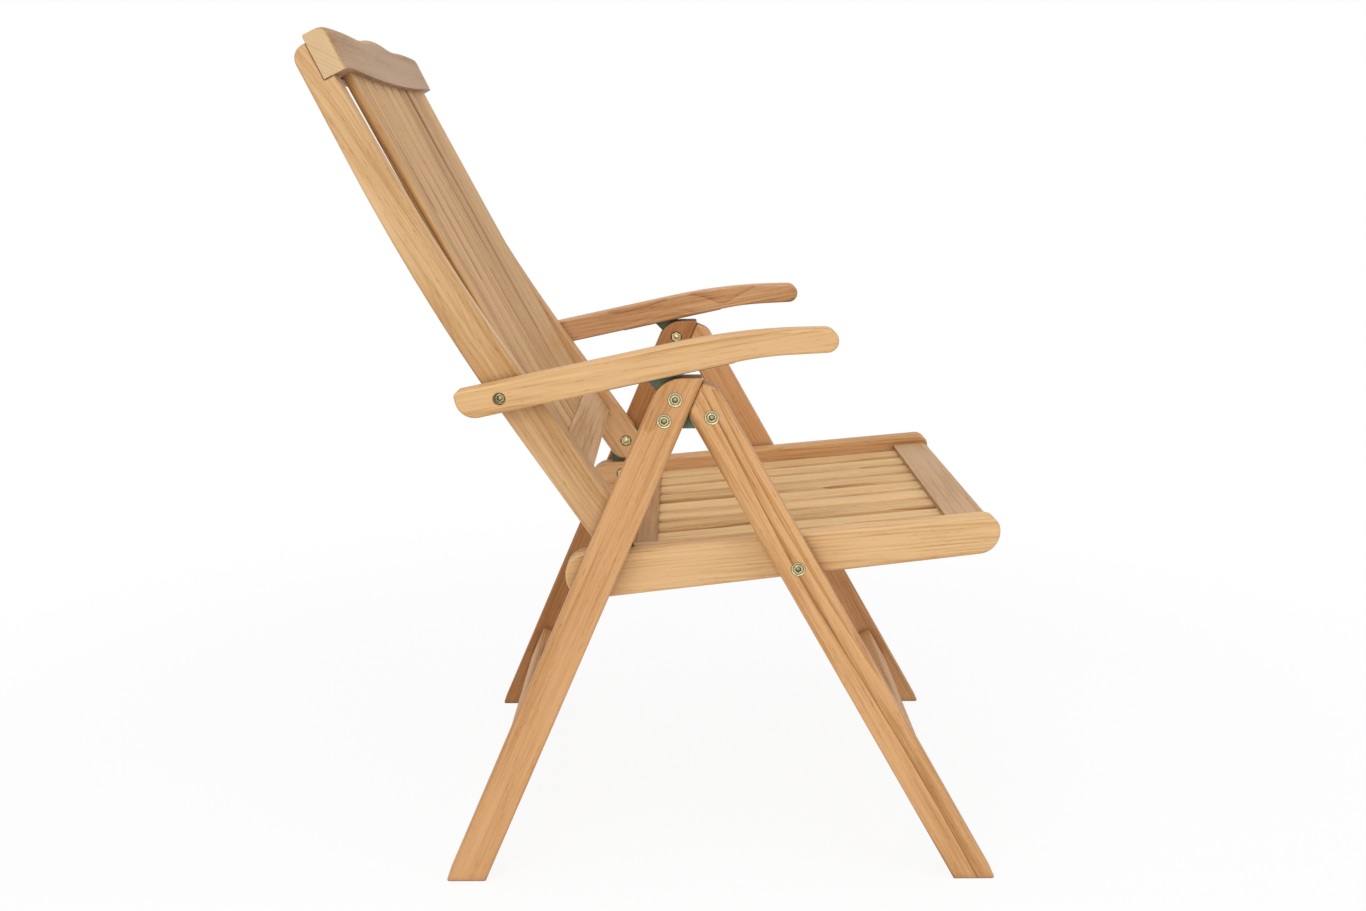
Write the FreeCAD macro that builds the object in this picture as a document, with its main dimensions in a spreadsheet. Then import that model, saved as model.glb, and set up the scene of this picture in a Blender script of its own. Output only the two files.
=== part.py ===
import FreeCAD, Part
import os

import Sketcher
from FreeCAD import Placement, Rotation, Vector

# Folding armchair in teak with a reclining back.
# Row frame: +Z up, the sitter faces -Y, the sitter's right hand is on the -X side.
# The origin is on the floor under the middle of the chair. All sizes are in millimetres and degrees.
# Each side piece is drawn in a side frame: x to the sitter's right, y forward, z up.

os.makedirs("parts", exist_ok=True)
doc = FreeCAD.newDocument("folding_armchair")
sheet = doc.addObject("Spreadsheet::Sheet", "sizes")

# Driving dimensions

SIZES = (
    # the layers from the outer face of the legs inwards
    ("width_over_legs", 590),
    ("leg_thick", 34),
    ("layer_gap", 2),
    ("inner_thick", 30),
    ("edge_ease", 2),
    ("slat_ease", 1.5),
    # rear legs: the foot is measured back from the chair's middle, and what is at the top
    # from the height of the fold pivot
    ("leg_width", 43),
    ("rear_foot_behind", 237.5),
    ("rear_lean", 23.4),
    ("leg_top_above", 43.7),
    ("leg_top_round", 35),
    ("plate_bolt_high_above", 20.1),
    ("plate_bolt_high_ahead", 1.6),
    ("plate_bolt_low_below", 3.8),
    ("plate_bolt_low_behind", 0.4),
    ("foot_round", 2.5),
    # front legs and the knuckle where they butt against the rear legs
    ("front_foot", 368),
    ("front_lean", 29.2),
    ("butt_gap", 0.6),
    ("butt_round", 12),
    ("front_top_above", 38.7),
    ("front_top_drop", 7.5),
    ("front_top_round", 20),
    ("fold_pivot_height", 559.3),
    ("seat_pivot_height", 384.3),
    # stretchers between the legs
    ("stretcher_deep", 50),
    ("stretcher_thick", 20),
    ("stretcher_start", 84),
    ("tenon_long", 20),
    ("tenon_shoulder", 5),
    ("rail_tenon_long", 12),
    ("rail_tenon_set_in", 12),
    ("rail_tenon_shoulder", 7),
    ("tenon_end_gap", 1),
    # steel hook plates in saw cuts at the top of the legs
    ("steel_thick", 4),
    ("saw_cut", 4.6),
    ("cut_margin", 0.4),
    ("neck_back", 26),
    ("neck_drop", 4),
    ("hook_rear_drop", 16),
    ("hook_rear_over", 2),
    ("slot_rear_drop", 14),
    ("slot_front_back", 18),
    ("slot_reach", 8),
    ("slot_run_out", 70),
    ("ring_radius", 14.8),
    ("ring_clear", 2.2),
    ("hook_wide", 33),
    ("hook_depth", 12),
    ("hook_crown", 3),
    ("plate_inset", 9),
    # bolts and their nuts
    ("screw_wide", 7.9),
    ("bolt_head", 15.5),
    ("head_thick", 2.6),
    ("head_recess", 2.2),
    ("head_room", 0.4),
    ("hex_socket", 5),
    ("socket_deep", 1.8),
    ("nut_wide", 13),
    ("nut_thick", 4),
    ("nut_recess", 4.6),
    ("screw_gap", 0.05),
    ("washer_wide", 20),
    ("washer_thick", 1.6),
    ("rest_pin_wide", 10),
    ("rest_pin_behind", 246.8),
    ("rest_pin_below", 30.3),
    # seat, measured from the seat pivot along its slope
    ("seat_slope", 5),
    ("rail_top", 30.6),
    ("rail_front", 238),
    ("rail_rear", 267.5),
    ("rail_low_front", 11.8),
    ("rail_low_rear", 25.2),
    ("nose_round_top", 15),
    ("nose_round_low", 26),
    ("rail_end_round", 26),
    ("deck_drop", 11),
    ("front_rail_from", 186.8),
    ("front_rail_wide", 52.3),
    ("rear_rail_from", 208.8),
    ("rear_rail_wide", 48),
    ("cross_rail_thick", 26),
    ("front_rail_round", 12.8),
    ("slat_drop", 4),
    ("slat_thick", 15),
    ("slat_wide", 42),
    ("slat_pitch", 50),
    ("slat_count", 9),
    ("tongue_long", 8),
    ("tongue_thick", 7),
    ("tongue_inset", 1),
    ("slat_room", 0.1),
    ("tongue_end_gap", 0.4),
    # hinge plates between the seat rails and the stiles
    ("hinge_wide", 48),
    ("hinge_low", 8),
    ("hinge_bolt_behind", 220.4),
    ("hinge_bolt_up", 13.2),
    ("back_pivot_behind", 209.5),
    ("back_pivot_up", 62.7),
    # back, measured from the back pivot along the lower run of the stiles
    ("lower_lean", 34.2),
    ("bend", 8.3),
    ("stile_behind", 26.5),
    ("stile_ahead", 21.5),
    ("stile_end", 25),
    ("stile_end_round", 23),
    ("stile_knee", 324.2),
    ("stile_knee_width", 41.5),
    ("stile_top_width", 31.5),
    ("stile_top", 303),
    ("stile_top_round", 16),
    ("stile_bend_round", 2400),
    ("stile_cut", 28),
    # crest rail, lapped on the front of the stiles
    ("crest_from", 260.6),
    ("crest_thick", 28.6),
    ("crest_proud", 17.5),
    ("crest_middle", 56),
    ("crest_dip", 49.5),
    ("crest_dip_at", 100),
    ("crest_shoulder", 52),
    ("crest_shoulder_at", 195),
    ("crest_belly", 7),
    ("crest_belly_from", 30.5),
    ("crest_front_round", 10),
    # lower back rail and back slats
    ("bottom_rail_from", 50),
    ("bottom_rail_deep", 53),
    ("bottom_rail_thick", 20),
    ("bottom_rail_set_back", 15.2),
    ("back_slat_thick", 12),
    ("back_slat_bend_round", 1200),
    ("back_slat_entry", 11),
    # arms, measured from the arm pivot along their slope
    ("arm_slope", 12),
    ("arm_pivot_forward", -179.1),
    ("arm_pivot_height", 581.5),
    ("arm_low", 16),
    ("arm_high", 16.8),
    ("arm_tail", 49),
    ("arm_tip", 381),
    ("arm_curve_from", 294),
    ("arm_tip_low", 30),
    ("arm_tip_high", 3.5),
    ("arm_curve_start", 18),
    ("arm_curve_round", 780),
    ("arm_curve_low_round", 370),
    ("arm_tip_back", 3),
    ("arm_tip_round", 13),
    ("arm_tail_round", 22),
    ("arm_tail_ease", 5),
    ("arm_head", 13.8),
    ("arm_head_recess", 8),
    # dark steel track under each arm and the cross pins over it
    ("track_from", 115.3),
    ("track_to", 262.6),
    ("track_wide", 24),
    ("track_thick", 2),
    ("track_slot_from", 119.5),
    ("track_slot_to", 246),
    ("groove_wide", 6.6),
    ("groove_deep", 20),
    ("latch_bar_wide", 5),
    ("latch_bar_long", 22),
    ("latch_bar_height", 0.3),
    ("notch_pitch", 19.3),
    ("notch_middle", 179.2),
)
for row, (alias, value) in enumerate(SIZES, start=1):
    sheet.set("A%d" % row, alias.replace("_", " "))
    sheet.set("B%d" % row, str(value))
    sheet.setAlias("B%d" % row, alias)
doc.recompute()


def size(alias):
    """A sheet value as a number, for loops and for choosing edges."""
    return float(sheet.get(alias))


def expr(text):
    """Sheet formula: each word of the sheet is written with its sheet name."""
    for alias in sorted((a for a, _ in SIZES), key=len, reverse=True):
        text = text.replace("$" + alias, "sizes." + alias)
    return text


def number(obj, text):
    return float(obj.evalExpression(expr(text)))


# Helpers that every wooden or steel piece is made with

def new_body(label, side="0", forward="0", height="0", lean="0", turned=True):
    """Body placed in the chair. turned=False keeps x to the sitter's left, for mirrored bolts."""
    body = doc.addObject("PartDesign::Body", label)
    body.Label = label
    axis = "vector(0; sin((%s)/2); cos((%s)/2))" % (lean, lean)
    angle = "180"
    if not turned:
        axis = "vector(1; 0; 0)"
        angle = "-(%s)" % lean
    place = "placement(vector(-(%s); -(%s); %s); rotation(%s; %s))" % (side, forward, height, axis, angle)
    body.setExpression("Placement", expr(place))
    return body


def new_sketch(body, role, offset="0"):
    """Sketch on one of the body's own origin planes, moved along its normal."""
    plane = [feature for feature in body.Origin.OriginFeatures if feature.Role == role][0]
    sketch = body.newObject("Sketcher::SketchObject", "sketch")
    sketch.AttachmentSupport = [(plane, "")]
    sketch.MapMode = "FlatFace"
    sketch.setExpression("AttachmentOffset.Base.z", expr(offset))
    return sketch


def tie(sketch, geometry, point, where, name):
    """Tie one point of the sketch to two sheet formulas, measured from the origin."""
    for axis, letter, formula in (("DistanceX", "x", where[0]), ("DistanceY", "y", where[1])):
        value = number(sketch, formula)
        index = sketch.addConstraint(Sketcher.Constraint(axis, -1, 1, geometry, point, value))
        sketch.renameConstraint(index, letter + name)
        sketch.setExpression("Constraints." + letter + name, expr(formula))


def draw(sketch, corners):
    """Closed outline. A corner is (across, up), or (across, up, (across, up)) where an arc
    through the second point leads to the next corner."""
    spots = [Vector(number(sketch, c[0]), number(sketch, c[1]), 0) for c in corners]
    for i, corner in enumerate(corners):
        end = spots[(i + 1) % len(spots)]
        if len(corner) == 2:
            sketch.addGeometry(Part.LineSegment(spots[i], end), False)
        else:
            middle = Vector(number(sketch, corner[2][0]), number(sketch, corner[2][1]), 0)
            sketch.addGeometry(Part.Arc(spots[i], middle, end), False)
    for i in range(len(corners)):
        following = (i + 1) % len(corners)
        end, start = (end_point(sketch, line, spots[following]) for line in (i, following))
        sketch.addConstraint(Sketcher.Constraint("Coincident", i, end, following, start))
    for i, corner in enumerate(corners):
        tie(sketch, i, end_point(sketch, i, spots[i]), corner, "corner%d" % i)
    for i, corner in enumerate(corners):
        if len(corner) == 3:
            middle = Vector(number(sketch, corner[2][0]), number(sketch, corner[2][1]), 0)
            dot = sketch.addGeometry(Part.Point(middle), True)
            sketch.addConstraint(Sketcher.Constraint("PointOnObject", dot, 1, i))
            tie(sketch, dot, 1, corner[2], "middle%d" % i)


def end_point(sketch, index, where):
    """Which end of a line or arc lies at a spot: 1 for its start, 2 for its end."""
    first = sketch.getPoint(index, 1)
    return 1 if first.distanceToPoint(where) < sketch.getPoint(index, 2).distanceToPoint(where) else 2


def pad(body, corners, thick, role="YZ_Plane", offset="0", middle=True):
    """Board: an outline given a thickness, to both sides of its plane or to one."""
    sketch = new_sketch(body, role, offset)
    draw(sketch, corners)
    feature = body.newObject("PartDesign::Pad", "board")
    feature.Profile = sketch
    feature.Midplane = middle
    feature.setExpression("Length", expr(thick))
    doc.recompute()
    return feature


def pocket(body, corners, start, deep, role="YZ_Plane"):
    """Cut an outline from the plane at start towards lower values, by a depth."""
    before = body.Shape.Volume
    sketch = new_sketch(body, role, start)
    draw(sketch, corners)
    return cut_with(body, sketch, deep, before)


def bore(body, across, up, wide, start, deep, role="YZ_Plane"):
    """Round hole from the plane at start towards lower values, by a depth."""
    before = body.Shape.Volume
    sketch = new_sketch(body, role, start)
    centre = Vector(number(sketch, across), number(sketch, up), 0)
    sketch.addGeometry(Part.Circle(centre, Vector(0, 0, 1), number(sketch, wide) / 2), False)
    tie(sketch, 0, 3, (across, up), "centre")
    index = sketch.addConstraint(Sketcher.Constraint("Diameter", 0, number(sketch, wide)))
    sketch.renameConstraint(index, "wide")
    sketch.setExpression("Constraints.wide", expr(wide))
    return cut_with(body, sketch, deep, before)


def cut_with(body, sketch, deep, before):
    feature = body.newObject("PartDesign::Pocket", "cut")
    feature.Profile = sketch
    feature.setExpression("Length", expr(deep))
    doc.recompute()
    if body.Shape.Volume > before - 1:
        raise RuntimeError("a cut in %s removes nothing" % body.Label)
    return feature


def pattern(body, feature, direction, step, count):
    """Repeat a cut along one of the body's own axes."""
    repeat = body.newObject("PartDesign::LinearPattern", "repeat")
    repeat.Originals = [feature]
    axis = [part for part in body.Origin.OriginFeatures if part.Role == direction][0]
    repeat.Direction = (axis, [""])
    repeat.setExpression("Length", expr("(%s)*(%s-1)" % (step, count)))
    repeat.setExpression("Occurrences", expr(count))
    body.Tip = repeat
    doc.recompute()
    return repeat


# points less than FLAT apart lie in one plane, less than NEAR apart are one corner,
# and a long edge is longer than LONG
FLAT = 0.01
NEAR = 0.05
LONG = 1


def edges_at(body, spots):
    """Names of the edges that run along x through the given (y, z) formulas."""
    shape = body.Tip.Shape
    wanted = [(number(body, y), number(body, z)) for y, z in spots]
    names = []
    for i, edge in enumerate(shape.Edges, start=1):
        ends = [vertex.Point for vertex in edge.Vertexes]
        if len(ends) < 2 or abs(ends[0].x - ends[1].x) < LONG or abs(ends[0].y - ends[1].y) > FLAT:
            continue
        if any(abs(ends[0].y - y) < NEAR and abs(ends[0].z - z) < NEAR for y, z in wanted):
            names.append("Edge%d" % i)
    if len(names) != len(wanted):
        raise RuntimeError("%s has %d of %d corners" % (body.Label, len(names), len(wanted)))
    return names


def round_corners(body, spots, radius):
    """Round some corners of an outline, seen from the side."""
    names = edges_at(body, spots)
    base = body.Tip
    feature = body.newObject("PartDesign::Fillet", "round")
    feature.Base = (base, names)
    feature.setExpression("Radius", expr(radius))
    doc.recompute()


def break_edges(body, names, kind="PartDesign::Chamfer", amount="$edge_ease"):
    """Break named edges of the body's last feature, flat or round."""
    base = body.Tip
    feature = body.newObject(kind, "eased")
    feature.Base = (base, names)
    feature.setExpression("Size" if kind.endswith("Chamfer") else "Radius", expr(amount))
    doc.recompute()


def ease(body, below=None):
    """Take the sharp edge off both broad faces of a board, or only below a height in its own frame."""
    box = body.Tip.Shape.BoundBox
    names = []
    for i, edge in enumerate(body.Tip.Shape.Edges, start=1):
        reach = edge.BoundBox
        on_face = min(abs(reach.XMin - box.XMin), abs(reach.XMin - box.XMax)) < FLAT
        if reach.XLength < FLAT and on_face and (below is None or reach.ZMin < number(body, below)):
            names.append("Edge%d" % i)
    break_edges(body, names)


def ease_along(body, direction):
    """Take the sharp edge off the long edges that run along x or forward along y."""
    names = []
    for i, edge in enumerate(body.Tip.Shape.Edges, start=1):
        box = edge.BoundBox
        lengths = {"x": box.XLength, "y": box.YLength, "z": box.ZLength}
        if lengths.pop(direction) > LONG and max(lengths.values()) < FLAT:
            names.append("Edge%d" % i)
    break_edges(body, names)


def box_corners(low_across, high_across, low_up, high_up):
    return [(low_across, low_up), (high_across, low_up), (high_across, high_up), (low_across, high_up)]


# Places that several pieces share, as formulas in the side frame

REAR_TAN = "tan($rear_lean)"
FRONT_TAN = "tan($front_lean)"
REAR_HALF = "($leg_width/2/cos($rear_lean))"
FRONT_HALF = "($leg_width/2/cos($front_lean))"


def rear_leg_at(offset, height):
    """Point on the rear leg: offset forward of its centre line at a height."""
    return ("-$rear_foot_behind+%s+(%s)*%s" % (offset, height, REAR_TAN), height)


def front_leg_at(offset, height):
    return ("$front_foot+%s-(%s)*%s" % (offset, height, FRONT_TAN), height)


FOLD_PIVOT = front_leg_at("0", "$fold_pivot_height")
SEAT_PIVOT = front_leg_at("0", "$seat_pivot_height")
BUTT_LINE = "(%s+$butt_gap/cos($rear_lean))" % REAR_HALF
CROTCH = "(($front_foot-%s+$rear_foot_behind-%s)/(%s+%s))" % (FRONT_HALF, BUTT_LINE, REAR_TAN, FRONT_TAN)
LEG_TOP = "($fold_pivot_height+$leg_top_above)"
FRONT_TOP = "($fold_pivot_height+$front_top_above)"
BOLT_HOLE = "($screw_wide+2*$screw_gap)"
LEG_SIDE = "($width_over_legs/2-$leg_thick/2)"
INNER_SIDE = "($width_over_legs/2-$leg_thick-$layer_gap-$inner_thick/2)"
LEG_SPAN = "($width_over_legs-2*$leg_thick)"
INNER_SPAN = "($width_over_legs-2*$leg_thick-2*$layer_gap-2*$inner_thick)"
HANDS = (("right", 1), ("left", -1))


def seat_to_side(ahead, up):
    """A point of the seat's own frame, as formulas in the side frame."""
    return ("%s+(%s)*cos($seat_slope)-(%s)*sin($seat_slope)" % (SEAT_PIVOT[0], ahead, up),
            "%s+(%s)*sin($seat_slope)+(%s)*cos($seat_slope)" % (SEAT_PIVOT[1], ahead, up))


BACK_PIVOT = seat_to_side("-$back_pivot_behind", "$back_pivot_up")
REST_PIN = seat_to_side("-$rest_pin_behind", "-$rest_pin_below")


def plate_bolt_spots():
    """The two bolts that hold a hook plate in the rear leg."""
    upper = rear_leg_at("$plate_bolt_high_ahead", "$fold_pivot_height+$plate_bolt_high_above")
    lower = rear_leg_at("-$plate_bolt_low_behind", "$fold_pivot_height-$plate_bolt_low_below")
    return (upper, lower)


nodes = []


def keep(piece):
    nodes.append(piece)
    return piece


# Rear legs

def bolt_hole(body, spot, hand, thick, head=False, nut=False):
    """Hole for a bolt, with a recess for the head outside or for the nut inside."""
    bore(body, spot[0], spot[1], BOLT_HOLE, "%s/2+1" % thick, "%s+2" % thick)
    for wanted, deep, side in ((head, "$head_recess", hand), (nut, "$nut_recess", -hand)):
        if wanted:
            start = "%s/2+1" % thick if side > 0 else "-%s/2+%s" % (thick, deep)
            bore(body, spot[0], spot[1], "$bolt_head+2*$head_room", start, deep + "+1")


def mortise(body, hand, corners, thick, deep):
    """Blind mortise from the inner face of a side piece."""
    start = "-%s/2+%s" % (thick, deep) if hand > 0 else "%s/2+1" % thick
    pocket(body, corners, start, deep + "+1")


def stretcher_mortise(lean_sign, foot, lean):
    """Mortise outline for a stretcher, square to the leg."""
    half = "($stretcher_thick/2-$tenon_shoulder)"
    low = "($stretcher_start+$tenon_shoulder)"
    high = "($stretcher_start+$stretcher_deep-$tenon_shoulder)"
    corners = []
    for across, along in (("-" + half, low), (half, low), (half, high), ("-" + half, high)):
        corners.append(("%s+(%s)*cos(%s)%s(%s)*sin(%s)" % (foot, across, lean, lean_sign, along, lean),
                        "(%s)*cos(%s)%s(%s)*sin(%s)" % (along, lean, "-" if lean_sign == "+" else "+",
                                                        across, lean)))
    return corners


def plate_slot_in_rear_leg(body):
    """Saw cut for the hook plate, open to the front and at the rounded top corner."""
    outline = [
        rear_leg_at(REAR_HALF + "+$slot_reach", PLATE_LOW + "-$cut_margin"),
        rear_leg_at("-%s+$plate_inset" % REAR_HALF, PLATE_LOW + "-$cut_margin"),
        rear_leg_at("-%s+$plate_inset" % REAR_HALF, LEG_TOP + "-$neck_back"),
        rear_leg_at("-%s-$slot_reach" % REAR_HALF, LEG_TOP + "-$slot_rear_drop"),
        rear_leg_at("-%s-$slot_reach" % REAR_HALF, LEG_TOP + "+$slot_reach"),
        rear_leg_at(REAR_HALF + "-$slot_front_back", LEG_TOP + "+$slot_reach"),
        rear_leg_at(REAR_HALF + "-$neck_back", LEG_TOP + "-$neck_drop"),
        rear_leg_at(REAR_HALF, PLATE_NECK + "+$cut_margin"),
        rear_leg_at(REAR_HALF + "+$slot_reach", PLATE_NECK + "+$cut_margin"),
    ]
    pocket(body, outline, "$saw_cut/2", "$saw_cut")


PLATE_LOW = "($fold_pivot_height-$ring_radius)"
PLATE_NECK = "($fold_pivot_height+$ring_radius)"


def rear_leg(name, hand):
    body = new_body("rear_leg_" + name, "%d*%s" % (hand, LEG_SIDE))
    foot_rear = rear_leg_at("-" + REAR_HALF, "0")
    foot_front = rear_leg_at(REAR_HALF, "0")
    top_front = rear_leg_at(REAR_HALF, LEG_TOP)
    top_rear = rear_leg_at("-" + REAR_HALF, LEG_TOP)
    pad(body, [foot_rear, foot_front, top_front, top_rear], "$leg_thick")
    round_corners(body, [top_rear], "$leg_top_round")
    round_corners(body, [foot_rear, foot_front, top_front], "$foot_round")
    ease(body)
    plate_slot_in_rear_leg(body)
    for spot in plate_bolt_spots():
        bolt_hole(body, spot, hand, "$leg_thick", head=True, nut=True)
    mortise(body, hand, stretcher_mortise("+", "-$rear_foot_behind", "$rear_lean"), "$leg_thick", "$tenon_long")
    rest_hole = "-$leg_thick/2+$tenon_long" if hand > 0 else "$leg_thick/2+1"
    bore(body, REST_PIN[0], REST_PIN[1], "$rest_pin_wide", rest_hole, "$tenon_long+1")
    return body


# Front legs: the top is cut to butt against the rear leg and rounded to roll past it

def front_leg(name, hand):
    body = new_body("front_leg_" + name, "%d*%s" % (hand, LEG_SIDE))
    foot_rear = front_leg_at("-" + FRONT_HALF, "0")
    foot_front = front_leg_at(FRONT_HALF, "0")
    front_shoulder = front_leg_at(FRONT_HALF, FRONT_TOP + "-$front_top_drop")
    butt_top = rear_leg_at(BUTT_LINE, FRONT_TOP)
    butt_low = rear_leg_at(BUTT_LINE, CROTCH)
    pad(body, [foot_rear, foot_front, front_shoulder, butt_top, butt_low], "$leg_thick")
    round_corners(body, [front_shoulder], "$front_top_round")
    round_corners(body, [butt_low], "$butt_round")
    round_corners(body, [foot_rear, foot_front, butt_top], "$foot_round")
    ease(body)
    plate_slot_in_front_leg(body)
    bolt_hole(body, FOLD_PIVOT, hand, "$leg_thick", head=True, nut=True)
    bolt_hole(body, SEAT_PIVOT, hand, "$leg_thick", head=True)
    mortise(body, hand, stretcher_mortise("-", "$front_foot", "$front_lean"), "$leg_thick", "$tenon_long")
    return body


def plate_slot_in_front_leg(body):
    """Saw cut that lets the leg swing about the plate's ring without meeting its neck."""
    reach = "($ring_radius+$ring_clear)"
    swing = "($front_lean+$rear_lean)"
    start = (FOLD_PIVOT[0] + "+%s*sin(%s)" % (reach, swing),
             FOLD_PIVOT[1] + "-%s*cos(%s)" % (reach, swing))
    side = (FOLD_PIVOT[0] + "+" + reach, FOLD_PIVOT[1])
    top = (FOLD_PIVOT[0], FOLD_PIVOT[1] + "+" + reach)
    outside = (FOLD_PIVOT[0] + "-$slot_run_out", FOLD_PIVOT[1] + "+" + reach)
    below = (start[0] + "-$slot_run_out*cos(%s)" % swing, start[1] + "-$slot_run_out*sin(%s)" % swing)
    pocket(body, [(start[0], start[1], side), top, outside, (outside[0], below[1]), below],
           "$saw_cut/2", "$saw_cut")


# Stretchers with a tenon at each end

def stretcher(label, foot, lean):
    body = new_body(label, "0", foot, "0", lean)
    high = "($stretcher_start+$stretcher_deep)"
    pad(body, box_corners("-$stretcher_thick/2", "$stretcher_thick/2", "$stretcher_start", high), LEG_SPAN)
    ease_along(body, "x")
    pad(body, box_corners("-$stretcher_thick/2+$tenon_shoulder", "$stretcher_thick/2-$tenon_shoulder",
                          "$stretcher_start+$tenon_shoulder", high + "-$tenon_shoulder"),
        LEG_SPAN + "+2*($tenon_long-$tenon_end_gap)")
    return body


# Hook plates: a ring for the fold pivot, a neck, and a hook that stands up into the arm's track

def arm_to_side(ahead, up):
    """A point of the arm's own frame, as formulas in the side frame."""
    return ("$arm_pivot_forward+(%s)*cos($arm_slope)-(%s)*sin($arm_slope)" % (ahead, up),
            "$arm_pivot_height+(%s)*sin($arm_slope)+(%s)*cos($arm_slope)" % (ahead, up))


def leg_plate(name, hand):
    body = new_body("leg_plate_" + name, "%d*%s" % (hand, LEG_SIDE))
    inset = "-%s+$plate_inset+$cut_margin" % REAR_HALF
    ring_low = (FOLD_PIVOT[0], PLATE_LOW)
    ring_top = (FOLD_PIVOT[0], PLATE_NECK)
    ring_side = (FOLD_PIVOT[0] + "+$ring_radius", FOLD_PIVOT[1])
    hook_top_front = arm_to_side("$notch_middle+$hook_wide/2", "-$arm_low+$hook_depth-$hook_crown")
    hook_top_rear = arm_to_side("$notch_middle-$hook_wide/2", "-$arm_low+$hook_depth-$hook_crown")
    hook_crown = arm_to_side("$notch_middle", "-$arm_low+$hook_depth")
    hook_rear = arm_to_side("$notch_middle-$hook_wide/2", "-$arm_low-1")
    outline = [
        (ring_low[0], ring_low[1], ring_side),
        ring_top,
        rear_leg_at(REAR_HALF, PLATE_NECK),
        rear_leg_at(REAR_HALF + "-$neck_back", LEG_TOP + "-$neck_drop"),
        (hook_top_front[0], hook_top_front[1], hook_crown),
        hook_top_rear,
        hook_rear,
        rear_leg_at("-%s+$hook_rear_over" % REAR_HALF, LEG_TOP + "-$hook_rear_drop"),
        rear_leg_at(inset, LEG_TOP + "-$neck_back"),
        rear_leg_at(inset, PLATE_LOW),
    ]
    pad(body, outline, "$steel_thick")
    for spot in (FOLD_PIVOT,) + plate_bolt_spots():
        bore(body, spot[0], spot[1], BOLT_HOLE, "$steel_thick", "2*$steel_thick")
    return body


# Bolts: a round-headed screw and a six-sided nut. Each is turned about x, with x pointing outwards.

def turned(label, profile, place, hand):
    """Round piece: a half outline in its own xy plane, turned about x."""
    side, forward, height = place
    body = new_body(label, side, forward, height, "0", hand > 0)
    sketch = new_sketch(body, "XY_Plane")
    draw(sketch, profile)
    feature = body.newObject("PartDesign::Revolution", "turned")
    feature.Profile = sketch
    axis = [part for part in body.Origin.OriginFeatures if part.Role == "X_Axis"][0]
    feature.ReferenceAxis = (axis, [""])
    feature.Angle = 360
    doc.recompute()
    return body


def six_corners(across_flats):
    half = "(%s/2)" % across_flats
    tip = "(%s/sqrt(3))" % across_flats
    return [(half, tip + "/2"), ("0", tip), ("-" + half, tip + "/2"),
            ("-" + half, "-" + tip + "/2"), ("0", "-" + tip), (half, "-" + tip + "/2")]


def bolt(label, hand, place, grip, head="$bolt_head", sunk="$head_recess"):
    """Screw and nut through a thickness, from the outer face inwards along -x.
    place is the (side, forward, height) of the outer face on the sitter's right."""
    spot = ("%d*%s" % (hand, place[0]), place[1], place[2])
    face = "(-%s+$head_thick)" % sunk
    under = "-%s" % sunk
    radius = "(%s)/2" % head
    shank = "$screw_wide/2"
    seat = "(-(%s)+$nut_recess)" % grip
    tip = seat + "-$nut_thick"
    screw = turned(label + "_screw", [(tip, "0"), (face, "0"), (face, radius), (under, radius),
                                      (under, shank), (tip, shank)], spot, hand)
    pocket(screw, six_corners("$hex_socket"), face, "$socket_deep")
    nut = new_body(label + "_nut", *spot, "0", hand > 0)
    pad(nut, six_corners("$nut_wide"), "$nut_thick", "YZ_Plane", tip, False)
    bore(nut, "0", "0", BOLT_HOLE, seat + "+1", "$nut_thick+2")
    return [screw, nut]


def washer(label, hand, place):
    """Spacer washer in the gap between two layers. place is its outer face."""
    spot = ("%d*%s" % (hand, place[0]), place[1], place[2])
    hole = BOLT_HOLE + "/2"
    edge = "$washer_wide/2"
    low = "-$washer_thick"
    return turned(label, [(low, hole), (low, edge), ("0", edge), ("0", hole)], spot, hand)


def group(label, pieces):
    """Like small parts in one node, as separate solids."""
    node = doc.addObject("Part::Compound", label)
    node.Label = label
    node.Links = pieces
    doc.recompute()
    return node


OUTER_FACE = "($width_over_legs/2)"
INNER_FACE = "($width_over_legs/2-$leg_thick-$layer_gap)"
GAP_FACE = "($width_over_legs/2-$leg_thick-($layer_gap-$washer_thick)/2)"
BOTH_LAYERS = "($leg_thick+$layer_gap+$inner_thick)"


def bolts(label, place, grip, **options):
    """The same bolt on both sides of the chair."""
    pieces = []
    for name, hand in HANDS:
        pieces += bolt(label + "_" + name, hand, place, grip, **options)
    return pieces


# Pins under the rear of the seat rails

def rest_pin(name, hand):
    spot = ("%d*(%s-$leg_thick)" % (hand, OUTER_FACE),) + REST_PIN
    out = "$layer_gap+$inner_thick"
    root = "$tenon_long-$tenon_end_gap"
    edge = "$rest_pin_wide/2"
    return turned("rest_pin_" + name, [("-(%s)" % out, "0"), (root, "0"), (root, edge),
                                       ("-(%s)" % out, edge)], spot, hand)


# Seat: side rails with a rounded nose, cross rails tenoned between them, slats tongued into those

def seat_body(label, side="0"):
    return new_body(label, side, SEAT_PIVOT[0], SEAT_PIVOT[1], "$seat_slope")


CROSS_TOP = "($rail_top-$deck_drop)"
CROSS_LOW = "($rail_top-$deck_drop-$cross_rail_thick)"
CROSS_RAILS = (("$front_rail_from", "($front_rail_from+$front_rail_wide)"),
               ("-$rear_rail_from", "(-$rear_rail_from+$rear_rail_wide)"))
TONGUE_MIDDLE = "($rail_top-$deck_drop-$slat_drop-$slat_thick/2)"
FIRST_SLAT = "(($slat_count-1)/2*$slat_pitch)"


def slat_side(number_in_row):
    """Side position of a slat, counted from the sitter's right."""
    return "(%s-%d*$slat_pitch)" % (FIRST_SLAT, number_in_row - 1)


def rail_tenon(low, high):
    """Tenon outline at the end of a seat cross rail."""
    return box_corners(low + "+$rail_tenon_set_in", high + "-$rail_tenon_set_in",
                       CROSS_LOW + "+$rail_tenon_shoulder", CROSS_TOP + "-$rail_tenon_shoulder")


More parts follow.
